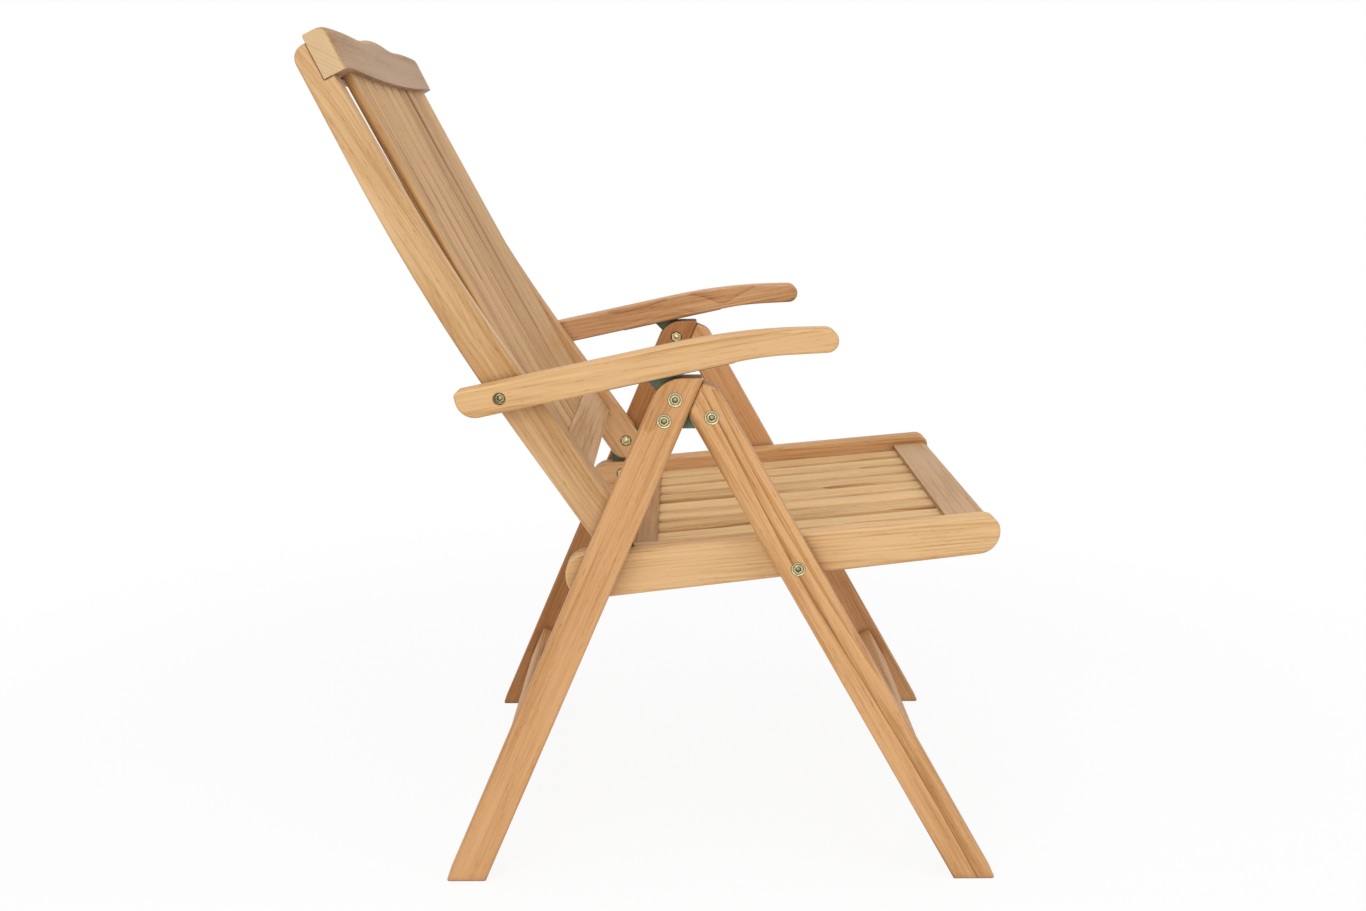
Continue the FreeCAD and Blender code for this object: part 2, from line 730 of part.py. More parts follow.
def seat_rail(name, hand):
    body = seat_body("seat_rail_" + name, "%d*%s" % (hand, INNER_SIDE))
    rear_low = ("-$rail_rear", "-$rail_low_rear")
    nose_low = ("$rail_front", "-$rail_low_front")
    nose_top = ("$rail_front", "$rail_top")
    rear_top = ("-$rail_rear", "$rail_top")
    pad(body, [rear_low, nose_low, nose_top, rear_top], "$inner_thick")
    round_corners(body, [nose_top], "$nose_round_top")
    round_corners(body, [nose_low], "$nose_round_low")
    round_corners(body, [rear_low, rear_top], "$rail_end_round")
    ease(body)
    slot_half = "$hinge_wide/2+$cut_margin"
    pocket(body, box_corners("-$back_pivot_behind-(%s)" % slot_half, "-$back_pivot_behind+" + slot_half,
                             "-$hinge_low-$cut_margin", "$rail_top+1"), "$saw_cut/2", "$saw_cut")
    bolt_hole(body, ("-$hinge_bolt_behind", "$hinge_bolt_up"), hand, "$inner_thick", head=True, nut=True)
    bolt_hole(body, ("0", "0"), hand, "$inner_thick", nut=True)
    for low, high in CROSS_RAILS:
        mortise(body, hand, rail_tenon(low, high), "$inner_thick", "$rail_tenon_long")
    return body


def cross_rail(label, low, high, front):
    """Rail between the seat rails, grooved along the edge that takes the slats."""
    body = seat_body(label)
    corners = box_corners(low, high, CROSS_LOW, CROSS_TOP)
    pad(body, corners, INNER_SPAN)
    if front:
        round_corners(body, [corners[1], corners[2]], "$front_rail_round")
    else:
        ease_along(body, "x")
    edge = low if front else high
    deep = "($tongue_long+$tongue_end_gap)"
    across = (edge + "-1", edge + "+" + deep) if front else (edge + "-" + deep, edge + "+1")
    groove = box_corners(across[0], across[1], TONGUE_MIDDLE + "-$tongue_thick/2-$slat_room",
                         TONGUE_MIDDLE + "+$tongue_thick/2+$slat_room")
    first = pocket(body, groove, FIRST_SLAT + "+$slat_wide/2", "$slat_wide")
    pattern_back(body, first)
    pad(body, rail_tenon(low, high), INNER_SPAN + "+2*($rail_tenon_long-$tenon_end_gap)")
    return body


def pattern_back(body, feature):
    """Repeat the first mortise for every slat, towards lower x."""
    repeat = pattern(body, feature, "X_Axis", "$slat_pitch", "$slat_count")
    repeat.Reversed = True
    doc.recompute()


def seat_slat(number_in_row):
    body = seat_body("seat_slat_%d" % number_in_row, slat_side(number_in_row))
    top = "($rail_top-$deck_drop-$slat_drop)"
    rear = "(-$rear_rail_from+$rear_rail_wide)"
    pad(body, box_corners(rear, "$front_rail_from", top + "-$slat_thick", top), "$slat_wide")
    ease_along(body, "y")
    pad(body, box_corners(rear + "-$tongue_long", "$front_rail_from+$tongue_long",
                          TONGUE_MIDDLE + "-$tongue_thick/2", TONGUE_MIDDLE + "+$tongue_thick/2"),
        "$slat_wide-2*$tongue_inset")
    return body


# Hinge plates stand in the seat rails and carry the stiles

def hinge_plate(name, hand):
    body = seat_body("hinge_plate_" + name, "%d*%s" % (hand, INNER_SIDE))
    half = "($hinge_wide/2)"
    rear_low = ("-$back_pivot_behind-" + half, "-$hinge_low")
    front_low = ("-$back_pivot_behind+" + half, "-$hinge_low")
    front_top = ("-$back_pivot_behind+" + half, "$back_pivot_up")
    crown = ("-$back_pivot_behind", "$back_pivot_up+" + half)
    rear_top = ("-$back_pivot_behind-" + half, "$back_pivot_up")
    pad(body, [rear_low, front_low, (front_top[0], front_top[1], crown), rear_top], "$steel_thick")
    for spot in (("-$back_pivot_behind", "$back_pivot_up"), ("-$hinge_bolt_behind", "$hinge_bolt_up")):
        bore(body, spot[0], spot[1], BOLT_HOLE, "$steel_thick", "2*$steel_thick")
    return body


# Back: bent stiles, the crest lapped over their tops, a lower rail and bent slats

def back_body(label, side="0"):
    return new_body(label, side, BACK_PIVOT[0], BACK_PIVOT[1], "$lower_lean")


def upper(across, along):
    """A point measured from the stile's rear knee along its upper run."""
    return ("-$stile_behind+(%s)*cos($bend)+(%s)*sin($bend)" % (across, along),
            "$stile_knee-(%s)*sin($bend)+(%s)*cos($bend)" % (across, along))


CREST_FRONT = "($stile_top_width+$crest_proud)"
CREST_REAR = "($stile_top_width+$crest_proud-$crest_thick)"
CREST_MIDDLE = "($stile_top_width+$crest_proud-$crest_thick/2)"
RAIL_MIDDLE = "($stile_ahead-$bottom_rail_set_back-$bottom_rail_thick/2)"


def back_stile(name, hand):
    body = back_body("back_stile_" + name, "%d*%s" % (hand, INNER_SIDE))
    end_rear = ("-$stile_behind", "-$stile_end")
    end_front = ("$stile_ahead", "-$stile_end")
    knee_front = upper("$stile_knee_width*cos($bend/2)", "$stile_knee_width*sin($bend/2)")
    lap_front = upper("$stile_top_width", "$crest_from")
    lap_corner = upper(CREST_REAR, "$crest_from")
    top_front = upper(CREST_REAR, "$stile_top")
    top_rear = upper("0", "$stile_top")
    knee_rear = upper("0", "0")
    pad(body, [end_rear, end_front, knee_front, lap_front, lap_corner, top_front, top_rear, knee_rear],
        "$inner_thick")
    round_corners(body, [end_rear, end_front], "$stile_end_round")
    round_corners(body, [knee_rear, knee_front], "$stile_bend_round")
    round_corners(body, [top_rear], "$stile_top_round")
    ease(body, upper("0", "$crest_from-$edge_ease")[1])
    pocket(body, box_corners("-$stile_behind-1", "$stile_ahead+1", "-$stile_end-1", "$stile_cut"),
           "$saw_cut/2", "$saw_cut")
    bolt_hole(body, ("0", "0"), hand, "$inner_thick", head=True, nut=True)
    bolt_hole(body, arm_pivot_in_back(), hand, "$inner_thick", nut=True)
    mortise(body, hand, bottom_tenon(), "$inner_thick", "$rail_tenon_long")
    return body


def bottom_tenon():
    """Tenon outline at the end of the lower back rail."""
    half = "($bottom_rail_thick/2-$tenon_shoulder)"
    return box_corners(RAIL_MIDDLE + "-" + half, RAIL_MIDDLE + "+" + half,
                       "$bottom_rail_from+$rail_tenon_shoulder",
                       "$bottom_rail_from+$bottom_rail_deep-$rail_tenon_shoulder")


def arm_pivot_in_back():
    """The arm pivot in the back's own frame, square to the lower run."""
    ahead = "($arm_pivot_forward-(%s))" % BACK_PIVOT[0]
    up = "($arm_pivot_height-(%s))" % BACK_PIVOT[1]
    return ("%s*cos($lower_lean)+%s*sin($lower_lean)" % (ahead, up),
            "%s*cos($lower_lean)-%s*sin($lower_lean)" % (up, ahead))


# The crest's top edge is a wave of arcs that meet smoothly: a hump in the middle, a dip and a
# shoulder to each side. Equal radii join hump and dip half way between them.

HUMP_RISE = "($crest_middle-$crest_dip)"
SHOULDER_RISE = "($crest_shoulder-$crest_dip)"
SHOULDER_RUN = "($crest_shoulder_at-$crest_dip_at)"
WAVE_RADIUS = "(($crest_dip_at^2+%s^2)/(4*%s))" % (HUMP_RISE, HUMP_RISE)
BOTH_RADII = "((%s^2+%s^2)/(2*%s))" % (SHOULDER_RUN, SHOULDER_RISE, SHOULDER_RISE)
JOIN_SHARE = "(%s/%s)" % (WAVE_RADIUS, BOTH_RADII)
SHOULDER_RADIUS = "(%s-%s)" % (BOTH_RADII, WAVE_RADIUS)


def crest_rail():
    """Crest with a wavy, rounded top and a bellied lower edge, mortised for the slats."""
    forward, height = upper(CREST_REAR, "$crest_from")
    side = "(%s)*cos($lower_lean)-(%s)*sin($lower_lean)" % (forward, height)
    rise = "(%s)*sin($lower_lean)+(%s)*cos($lower_lean)" % (forward, height)
    body = new_body("crest_rail", "0", "%s+%s" % (BACK_PIVOT[0], side), "%s+%s" % (BACK_PIVOT[1], rise),
                    "$lower_lean-$bend")
    end = "(%s/2+$inner_thick)" % INNER_SPAN
    inner = "(%s-$crest_belly_from)" % end
    hump_join = ("$crest_dip_at/2", "($crest_middle+$crest_dip)/2")
    far_join = ("($crest_dip_at+%s*%s)" % (SHOULDER_RUN, JOIN_SHARE),
                "($crest_dip+%s*%s)" % (SHOULDER_RISE, JOIN_SHARE))
    end_top = "($crest_shoulder-%s+sqrt(%s^2-(%s-$crest_shoulder_at)^2))" % (
        SHOULDER_RADIUS, SHOULDER_RADIUS, end)
    dip = ("$crest_dip_at", "$crest_dip")
    shoulder = ("$crest_shoulder_at", "$crest_shoulder")

    def left(spot):
        return ("-" + spot[0], spot[1])

    outline = [
        ("-" + end, "0"),
        ("-" + inner, "0", ("0", "-$crest_belly")),
        (inner, "0"),
        (end, "0"),
        (end, end_top, shoulder),
        far_join + (dip,),
        hump_join + (("0", "$crest_middle"),),
        left(hump_join) + (left(dip),),
        left(far_join) + (left(shoulder),),
        ("-" + end, end_top),
    ]
    pad(body, outline, "$crest_thick", "XZ_Plane", "-$crest_thick", False)
    round_crest(body)
    mouth = "($crest_thick/2)"
    half = "($back_slat_thick/2+$slat_room)"
    slot = box_corners(FIRST_SLAT + "-$slat_wide/2", FIRST_SLAT + "+$slat_wide/2",
                       mouth + "-" + half, mouth + "+" + half)
    deep = "($back_slat_entry+$tenon_end_gap)"
    first = pocket(body, slot, deep, deep + "+$crest_belly+1", "XY_Plane")
    pattern_back(body, first)
    return body


def round_crest(body):
    """Round the front edge of the wavy top well over, and ease the other edges all round."""
    for kind, amount, front in (("PartDesign::Fillet", "$crest_front_round", True),
                                ("PartDesign::Chamfer", "$edge_ease", False)):
        shape = body.Tip.Shape
        low = number(body, "$crest_dip") / 2
        names = []
        for i, edge in enumerate(shape.Edges, start=1):
            box = edge.BoundBox
            flat = box.YLength < FLAT
            on_front = flat and abs(box.YMin - shape.BoundBox.YMax) < FLAT
            on_rear = flat and abs(box.YMin - shape.BoundBox.YMin) < FLAT
            if on_front if front else (on_rear and box.ZMin > low):
                if box.ZMin > low:
                    names.append("Edge%d" % i)
        break_edges(body, names, kind, amount)


def back_bottom_rail():
    body = back_body("back_bottom_rail")
    high = "($bottom_rail_from+$bottom_rail_deep)"
    half = "($bottom_rail_thick/2)"
    corners = box_corners(RAIL_MIDDLE + "-" + half, RAIL_MIDDLE + "+" + half, "$bottom_rail_from", high)
    pad(body, corners, INNER_SPAN)
    ease_along(body, "x")
    pad(body, bottom_tenon(), INNER_SPAN + "+2*($rail_tenon_long-$tenon_end_gap)")
    room = "($back_slat_thick/2+$slat_room)"
    slot = box_corners(FIRST_SLAT + "-$slat_wide/2", FIRST_SLAT + "+$slat_wide/2",
                       RAIL_MIDDLE + "-" + room, RAIL_MIDDLE + "+" + room)
    first = pocket(body, slot, high + "+1", "$back_slat_entry+$tenon_end_gap+1", "XY_Plane")
    pattern_back(body, first)
    return body


def back_slat(number_in_row):
    body = back_body("back_slat_%d" % number_in_row, slat_side(number_in_row))
    corners = []
    half = "$back_slat_thick/2"
    low = "$bottom_rail_from+$bottom_rail_deep-$back_slat_entry"
    high = "$crest_from+$back_slat_entry"
    rear, front = ("%s-%s" % (RAIL_MIDDLE, half), "%s+%s" % (RAIL_MIDDLE, half))
    rear_up, front_up = ("%s-%s" % (CREST_MIDDLE, half), "%s+%s" % (CREST_MIDDLE, half))

    def knee(line, line_up):
        along = "((%s+$stile_behind-(%s)*cos($bend))/sin($bend))" % (line, line_up)
        return (line, "$stile_knee-(%s)*sin($bend)+%s*cos($bend)" % (line_up, along))

    knee_rear = knee(rear, rear_up)
    knee_front = knee(front, front_up)
    corners = [(rear, low), (front, low), knee_front, upper(front_up, high), upper(rear_up, high), knee_rear]
    pad(body, corners, "$slat_wide")
    round_corners(body, [knee_rear, knee_front], "$back_slat_bend_round")
    ease_slat_run(body)
    return body


def ease_slat_run(body):
    """Take the sharp edge off the front and rear edges of a bent slat."""
    box = body.Tip.Shape.BoundBox
    names = []
    for i, edge in enumerate(body.Tip.Shape.Edges, start=1):
        reach = edge.BoundBox
        if reach.XLength < FLAT and reach.ZLength > number(body, "$back_slat_thick"):
            names.append("Edge%d" % i)
    break_edges(body, names, amount="$slat_ease")


# Arms: straight run, then curving down to a rounded tip, with a groove and a steel track below

def arm_body(label, side):
    return new_body(label, side, "$arm_pivot_forward", "$arm_pivot_height", "$arm_slope")


def arm(name, hand):
    body = arm_body("arm_" + name, "%d*%s" % (hand, LEG_SIDE))
    tail_low = ("-$arm_tail", "-$arm_low")
    curve_low = ("$arm_curve_from", "-$arm_low")
    tip_low = ("$arm_tip", "-$arm_tip_low")
    tip_high = ("$arm_tip-$arm_tip_back", "-$arm_tip_high")
    curve_high = ("$arm_curve_from-$arm_curve_start", "$arm_high")
    tail_high = ("-$arm_tail", "$arm_high")
    pad(body, [tail_low, curve_low, tip_low, tip_high, curve_high, tail_high], "$leg_thick")
    round_corners(body, [curve_low], "$arm_curve_low_round")
    round_corners(body, [curve_high], "$arm_curve_round")
    round_corners(body, [tip_low, tip_high], "$arm_tip_round")
    round_corners(body, [tail_low], "$arm_tail_round")
    round_corners(body, [tail_high], "$arm_tail_ease")
    ease(body)
    pocket(body, box_corners("$track_slot_from-$cut_margin", "$track_slot_to+$cut_margin", "-$arm_low-1",
                             "-$arm_low+$groove_deep"), "$groove_wide/2", "$groove_wide")
    bore(body, "0", "0", BOLT_HOLE, "$leg_thick/2+1", "$leg_thick+2")
    sunk = "$leg_thick/2+1" if hand > 0 else "-$leg_thick/2+$arm_head_recess"
    bore(body, "0", "0", "$arm_head+2*$head_room", sunk, "$arm_head_recess+1")
    for ahead in notch_places():
        pocket(body, latch_outline(ahead), "$latch_bar_long/2", "$latch_bar_long")
    return body


def notch_places():
    """Five latch positions along the arm."""
    return ["($notch_middle+(%d)*$notch_pitch)" % step for step in range(-2, 3)]


def latch_outline(ahead):
    half = "$latch_bar_wide/2"
    return box_corners("%s-%s" % (ahead, half), "%s+%s" % (ahead, half),
                       "$latch_bar_height-" + half, "$latch_bar_height+" + half)


def arm_track(name, hand):
    body = arm_body("arm_track_" + name, "%d*%s" % (hand, LEG_SIDE))
    pad(body, box_corners("$track_from", "$track_to", "-$arm_low-$track_thick", "-$arm_low"), "$track_wide")
    pocket(body, box_corners("$track_slot_from", "$track_slot_to", "-$arm_low-$track_thick-1",
                             "-$arm_low+1"), "$groove_wide/2", "$groove_wide")
    return body


def latch_bars(name, hand):
    """Square steel bars let into both sides of the groove, over the hook."""
    pieces = []
    for step, ahead in enumerate(notch_places(), start=1):
        bar = arm_body("latch_bar_%s_%d" % (name, step), "%d*%s" % (hand, LEG_SIDE))
        pad(bar, latch_outline(ahead), "$latch_bar_long")
        pieces.append(bar)
    return group("latch_bars_" + name, pieces)


# The chair

for name, hand in HANDS:
    keep(rear_leg(name, hand))
    keep(leg_plate(name, hand))
    keep(front_leg(name, hand))
keep(stretcher("rear_stretcher", "-$rear_foot_behind", "-$rear_lean"))
keep(stretcher("front_stretcher", "$front_foot", "$front_lean"))
keep(group("leg_plate_bolts", [piece for spot_name, spot in zip(("upper", "lower"), plate_bolt_spots())
                               for piece in bolts("leg_plate_bolt_" + spot_name,
                                                  (OUTER_FACE, spot[0], spot[1]), "$leg_thick")]))
keep(group("fold_pivot_bolts", bolts("fold_pivot_bolt", (OUTER_FACE, FOLD_PIVOT[0], FOLD_PIVOT[1]),
                                     "$leg_thick")))
keep(group("seat_pivot_bolts", bolts("seat_pivot_bolt", (OUTER_FACE, SEAT_PIVOT[0], SEAT_PIVOT[1]),
                                     BOTH_LAYERS)))
keep(group("seat_pivot_washers", [washer("seat_pivot_washer_" + name, hand,
                                         (GAP_FACE, SEAT_PIVOT[0], SEAT_PIVOT[1])) for name, hand in HANDS]))
keep(group("seat_rest_pins", [rest_pin(name, hand) for name, hand in HANDS]))

for name, hand in HANDS:
    keep(seat_rail(name, hand))
    keep(hinge_plate(name, hand))
keep(cross_rail("seat_front_rail", CROSS_RAILS[0][0], CROSS_RAILS[0][1], True))
keep(cross_rail("seat_rear_rail", CROSS_RAILS[1][0], CROSS_RAILS[1][1], False))
for slat in range(1, int(size("slat_count")) + 1):
    keep(seat_slat(slat))
hinge_bolt = seat_to_side("-$hinge_bolt_behind", "$hinge_bolt_up")
keep(group("hinge_plate_bolts", bolts("hinge_plate_bolt", (INNER_FACE,) + hinge_bolt, "$inner_thick")))

for name, hand in HANDS:
    keep(back_stile(name, hand))
keep(crest_rail())
keep(back_bottom_rail())
for slat in range(1, int(size("slat_count")) + 1):
    keep(back_slat(slat))
keep(group("back_pivot_bolts", bolts("back_pivot_bolt", (INNER_FACE,) + BACK_PIVOT, "$inner_thick")))

for name, hand in HANDS:
    keep(arm(name, hand))
    keep(arm_track(name, hand))
    keep(latch_bars(name, hand))
    arm_place = (OUTER_FACE, "$arm_pivot_forward", "$arm_pivot_height")
    pieces = bolt("arm_bolt_" + name, hand, arm_place, BOTH_LAYERS, "$arm_head", "$arm_head_recess")
    pieces.append(washer("arm_washer_" + name, hand, (GAP_FACE,) + arm_place[1:]))
    keep(group("arm_pivot_bolt_" + name, pieces))

# Checks, then one file for each node

doc.recompute()
for item in doc.Objects:
    if "Invalid" in item.State or "Error" in item.State:
        raise RuntimeError("%s did not compute" % item.Label)
for piece in nodes:
    if piece.Shape.isNull() or not piece.Shape.isValid():
        raise RuntimeError("%s has no valid shape" % piece.Label)
    piece.Shape.exportStep("parts/%s.step" % piece.Label)

whole = Part.makeCompound([piece.Shape for piece in nodes])
print("nodes", len(nodes), "box", whole.BoundBox)
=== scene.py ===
import math
import random

import bmesh
import bpy
import numpy as np
from mathutils import Matrix, Vector


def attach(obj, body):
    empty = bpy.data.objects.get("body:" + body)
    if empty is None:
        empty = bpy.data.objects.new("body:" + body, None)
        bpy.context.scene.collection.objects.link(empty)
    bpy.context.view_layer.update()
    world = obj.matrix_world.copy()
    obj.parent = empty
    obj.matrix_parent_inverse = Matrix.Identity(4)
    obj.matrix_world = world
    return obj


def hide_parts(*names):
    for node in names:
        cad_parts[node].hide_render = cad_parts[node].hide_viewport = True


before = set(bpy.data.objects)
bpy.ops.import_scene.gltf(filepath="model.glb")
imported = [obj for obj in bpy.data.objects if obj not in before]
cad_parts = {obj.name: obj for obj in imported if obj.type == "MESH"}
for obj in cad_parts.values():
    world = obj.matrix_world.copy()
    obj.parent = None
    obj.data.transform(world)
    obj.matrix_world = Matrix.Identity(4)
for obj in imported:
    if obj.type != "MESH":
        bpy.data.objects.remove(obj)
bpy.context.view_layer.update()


# Rear legs: straight boards of pale teak, sawn to 43 by 34 mm, planed, and sanded without oil.
# The top corner is rounded over the hook plate, and every long edge is eased. Two bolts hold the
# plate in a saw cut at the top.

class Value:
    """What one socket of a node tree gives. Adding or scaling one adds the Math nodes for it."""

    def __init__(self, tree, socket=None):
        self.tree = tree
        self.socket = socket

    def node(self, kind, settings, inputs, output=0):
        """Add a node with its settings and its inputs, and give back one of its outputs."""
        made = self.tree.nodes.new(kind)
        for name, setting in settings.items():
            if name == "stops":
                while len(made.color_ramp.elements) < len(setting):
                    made.color_ramp.elements.new(1.0)
                for stop, (place, colour) in zip(made.color_ramp.elements, setting):
                    stop.position = place
                    stop.color = colour
            else:
                setattr(made, name, setting)
        for name, value in inputs.items():
            for part in value if isinstance(value, list) else [value]:
                if isinstance(part, Value):
                    self.tree.links.new(part.socket, made.inputs[name])
                else:
                    made.inputs[name].default_value = part
        return Value(self.tree, made.outputs[output] if made.outputs else None)

    def other(self, name):
        """Another output of the node that this value comes from."""
        return Value(self.tree, self.socket.node.outputs[name])

    def maths(self, operation, *values):
        return self.node("ShaderNodeMath", {"operation": operation}, dict(enumerate(values)))

    def __add__(self, other):
        return self.maths("ADD", self, other)

    def __sub__(self, other):
        return self.maths("SUBTRACT", self, other)

    def __rsub__(self, other):
        return self.maths("SUBTRACT", other, self)

    def __mul__(self, other):
        return self.maths("MULTIPLY", self, other)

    def __truediv__(self, other):
        return self.maths("DIVIDE", self, other)

    def __pow__(self, other):
        return self.maths("POWER", self, other)

    __radd__ = __add__
    __rmul__ = __mul__

    def between(self, low, high):
        """0 below low, 1 above high, and smooth from one to the other."""
        return self.node("ShaderNodeMapRange", {"interpolation_type": "SMOOTHSTEP"},
                         {"Value": self, "From Min": low, "From Max": high})


def seen(red, green, blue):
    """A colour in the 0 to 255 steps of a screen, turned into the renderer's light."""
    return tuple(((step / 255 + 0.055) / 1.055) ** 2.4 for step in (red, green, blue)) + (1.0,)


def new_material(name):
    """A material with nothing in it yet."""
    material = bpy.data.materials.new(name)
    material.use_nodes = True
    material.node_tree.nodes.clear()
    return material


def mixed(base, share, first, second):
    """A colour mixed from two others. They are inputs 6 and 7 of the node, and its output 2."""
    return base.node("ShaderNodeMix", {"data_type": "RGBA"}, {0: share, 6: first, 7: second}, 2)


def at_edges(base, radius):
    """0 on flat faces, and more towards the edges that a bevel of this radius would round."""
    bevel = base.node("ShaderNodeBevel", {"samples": 4}, {"Radius": radius})
    flat = base.node("ShaderNodeNewGeometry", {}, {}, "True Normal")
    return 1 - base.node("ShaderNodeVectorMath", {"operation": "DOT_PRODUCT"},
                         {0: bevel, 1: flat}, "Value")


def in_corners(base, reach, samples):
    """0 in the open, and more where other faces stand closer than the reach: the mask for painted
    shade.
    """
    return 1 - base.node("ShaderNodeAmbientOcclusion", {"samples": samples}, {"Distance": reach})


def surface(base, colour, roughness, height, bump, depth, edge, metallic=0.0, gloss=0.5):
    """The shader that every finish ends in. edge is the radius that sharp edges seem to have."""
    rounded_off = base.node("ShaderNodeBevel", {"samples": 4}, {"Radius": edge})
    normal = base.node("ShaderNodeBump", {}, {
        "Height": height, "Strength": bump, "Distance": depth, "Normal": rounded_off})
    shader = base.node("ShaderNodeBsdfPrincipled", {}, {
        "Base Color": colour, "Roughness": roughness, "Metallic": metallic,
        "Specular IOR Level": gloss, "Normal": normal})
    base.node("ShaderNodeOutputMaterial", {}, {"Surface": shader})


def dress(node, material):
    """Give a CAD piece its finish."""
    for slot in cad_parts[node].material_slots:
        slot.material = material


def board_turn(node):
    """The turn that lays a board's length along x and its width along y, and its middle."""
    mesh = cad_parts[node].data
    points = np.empty(len(mesh.vertices) * 3)
    mesh.vertices.foreach_get("co", points)
    points = points.reshape(-1, 3)
    middle = (points.max(axis=0) + points.min(axis=0)) / 2
    directions = np.linalg.eigh(np.cov((points - middle).T))[1]
    along, across = Vector(directions[:, 2]), Vector(directions[:, 1])
    if max(along, key=abs) < 0:
        along.negate()
    return Matrix((along, across, along.cross(across))), Vector(middle)


RING = 0.0050                        # the width of a year's growth
RING_SPREAD = (0.8, 1.3)             # narrow and wide rings, as shares of that
HEART = (0.05, 0.12)                 # how far the tree's heart lies from the board's middle
HEART_LEAN = 0.035                   # how far it runs out of line in a metre
LATE_WOOD = 2.6                      # how suddenly each ring darkens towards its end
SWIRL = (85, 9)                      # the swirl's cycles a metre for each metre of it, and across
PATCHES = (2.6, 17, 1.0)             # cycles a metre along the board, across it, and detail
SILK = (3, 130, 2.0)
FIBRES = (12, 420, 3.0)
PORES = (70, 1.6 / 0.0017, 1.0)
PORE_PEAKS = (0.63, 0.74)            # only these peaks of the noise are pores
PORE_DEPTH = 0.0002
STREAK, PLAIN = 0.34, 0.62           # the places of dark and of plain wood in the run of tones
DARK_TONE = (0.60, 0.50, 0.38)       # shares of the plain wood's red, green and blue
STREAK_TONE = (0.87, 0.81, 0.72)
PLAIN_TONE = (1.0, 1.0, 1.0)
PALE_TONE = (1.06, 1.08, 1.12)
END_TONE = (0.9, 0.9, 0.9)
END_DARK = (0.7, 0.6, 0.5)
END_TURN = (0.72, 0.95)              # how far a face points along the board where its end begins
SANDED_TONE = (1.1, 1.12, 1.18)
SHADED_TONE = (0.52, 0.40, 0.30)
EASED = 0.0008                       # the radius of the sanded edges
EASED_TURN = (0.02, 0.22)            # how far they turn from flat where the paler wood begins
CORNER_SHADE = (0.010, 0.85)               # how far and how strongly shade is painted into corners
TREE_LONG = 9                        # how far along its tree a board may be cut
OTHER_CUT = (0.7, 0.3)               # how far across and through it the next of a row is cut
OTHER_TONE = 0.3                     # how much darker or paler the next one may be


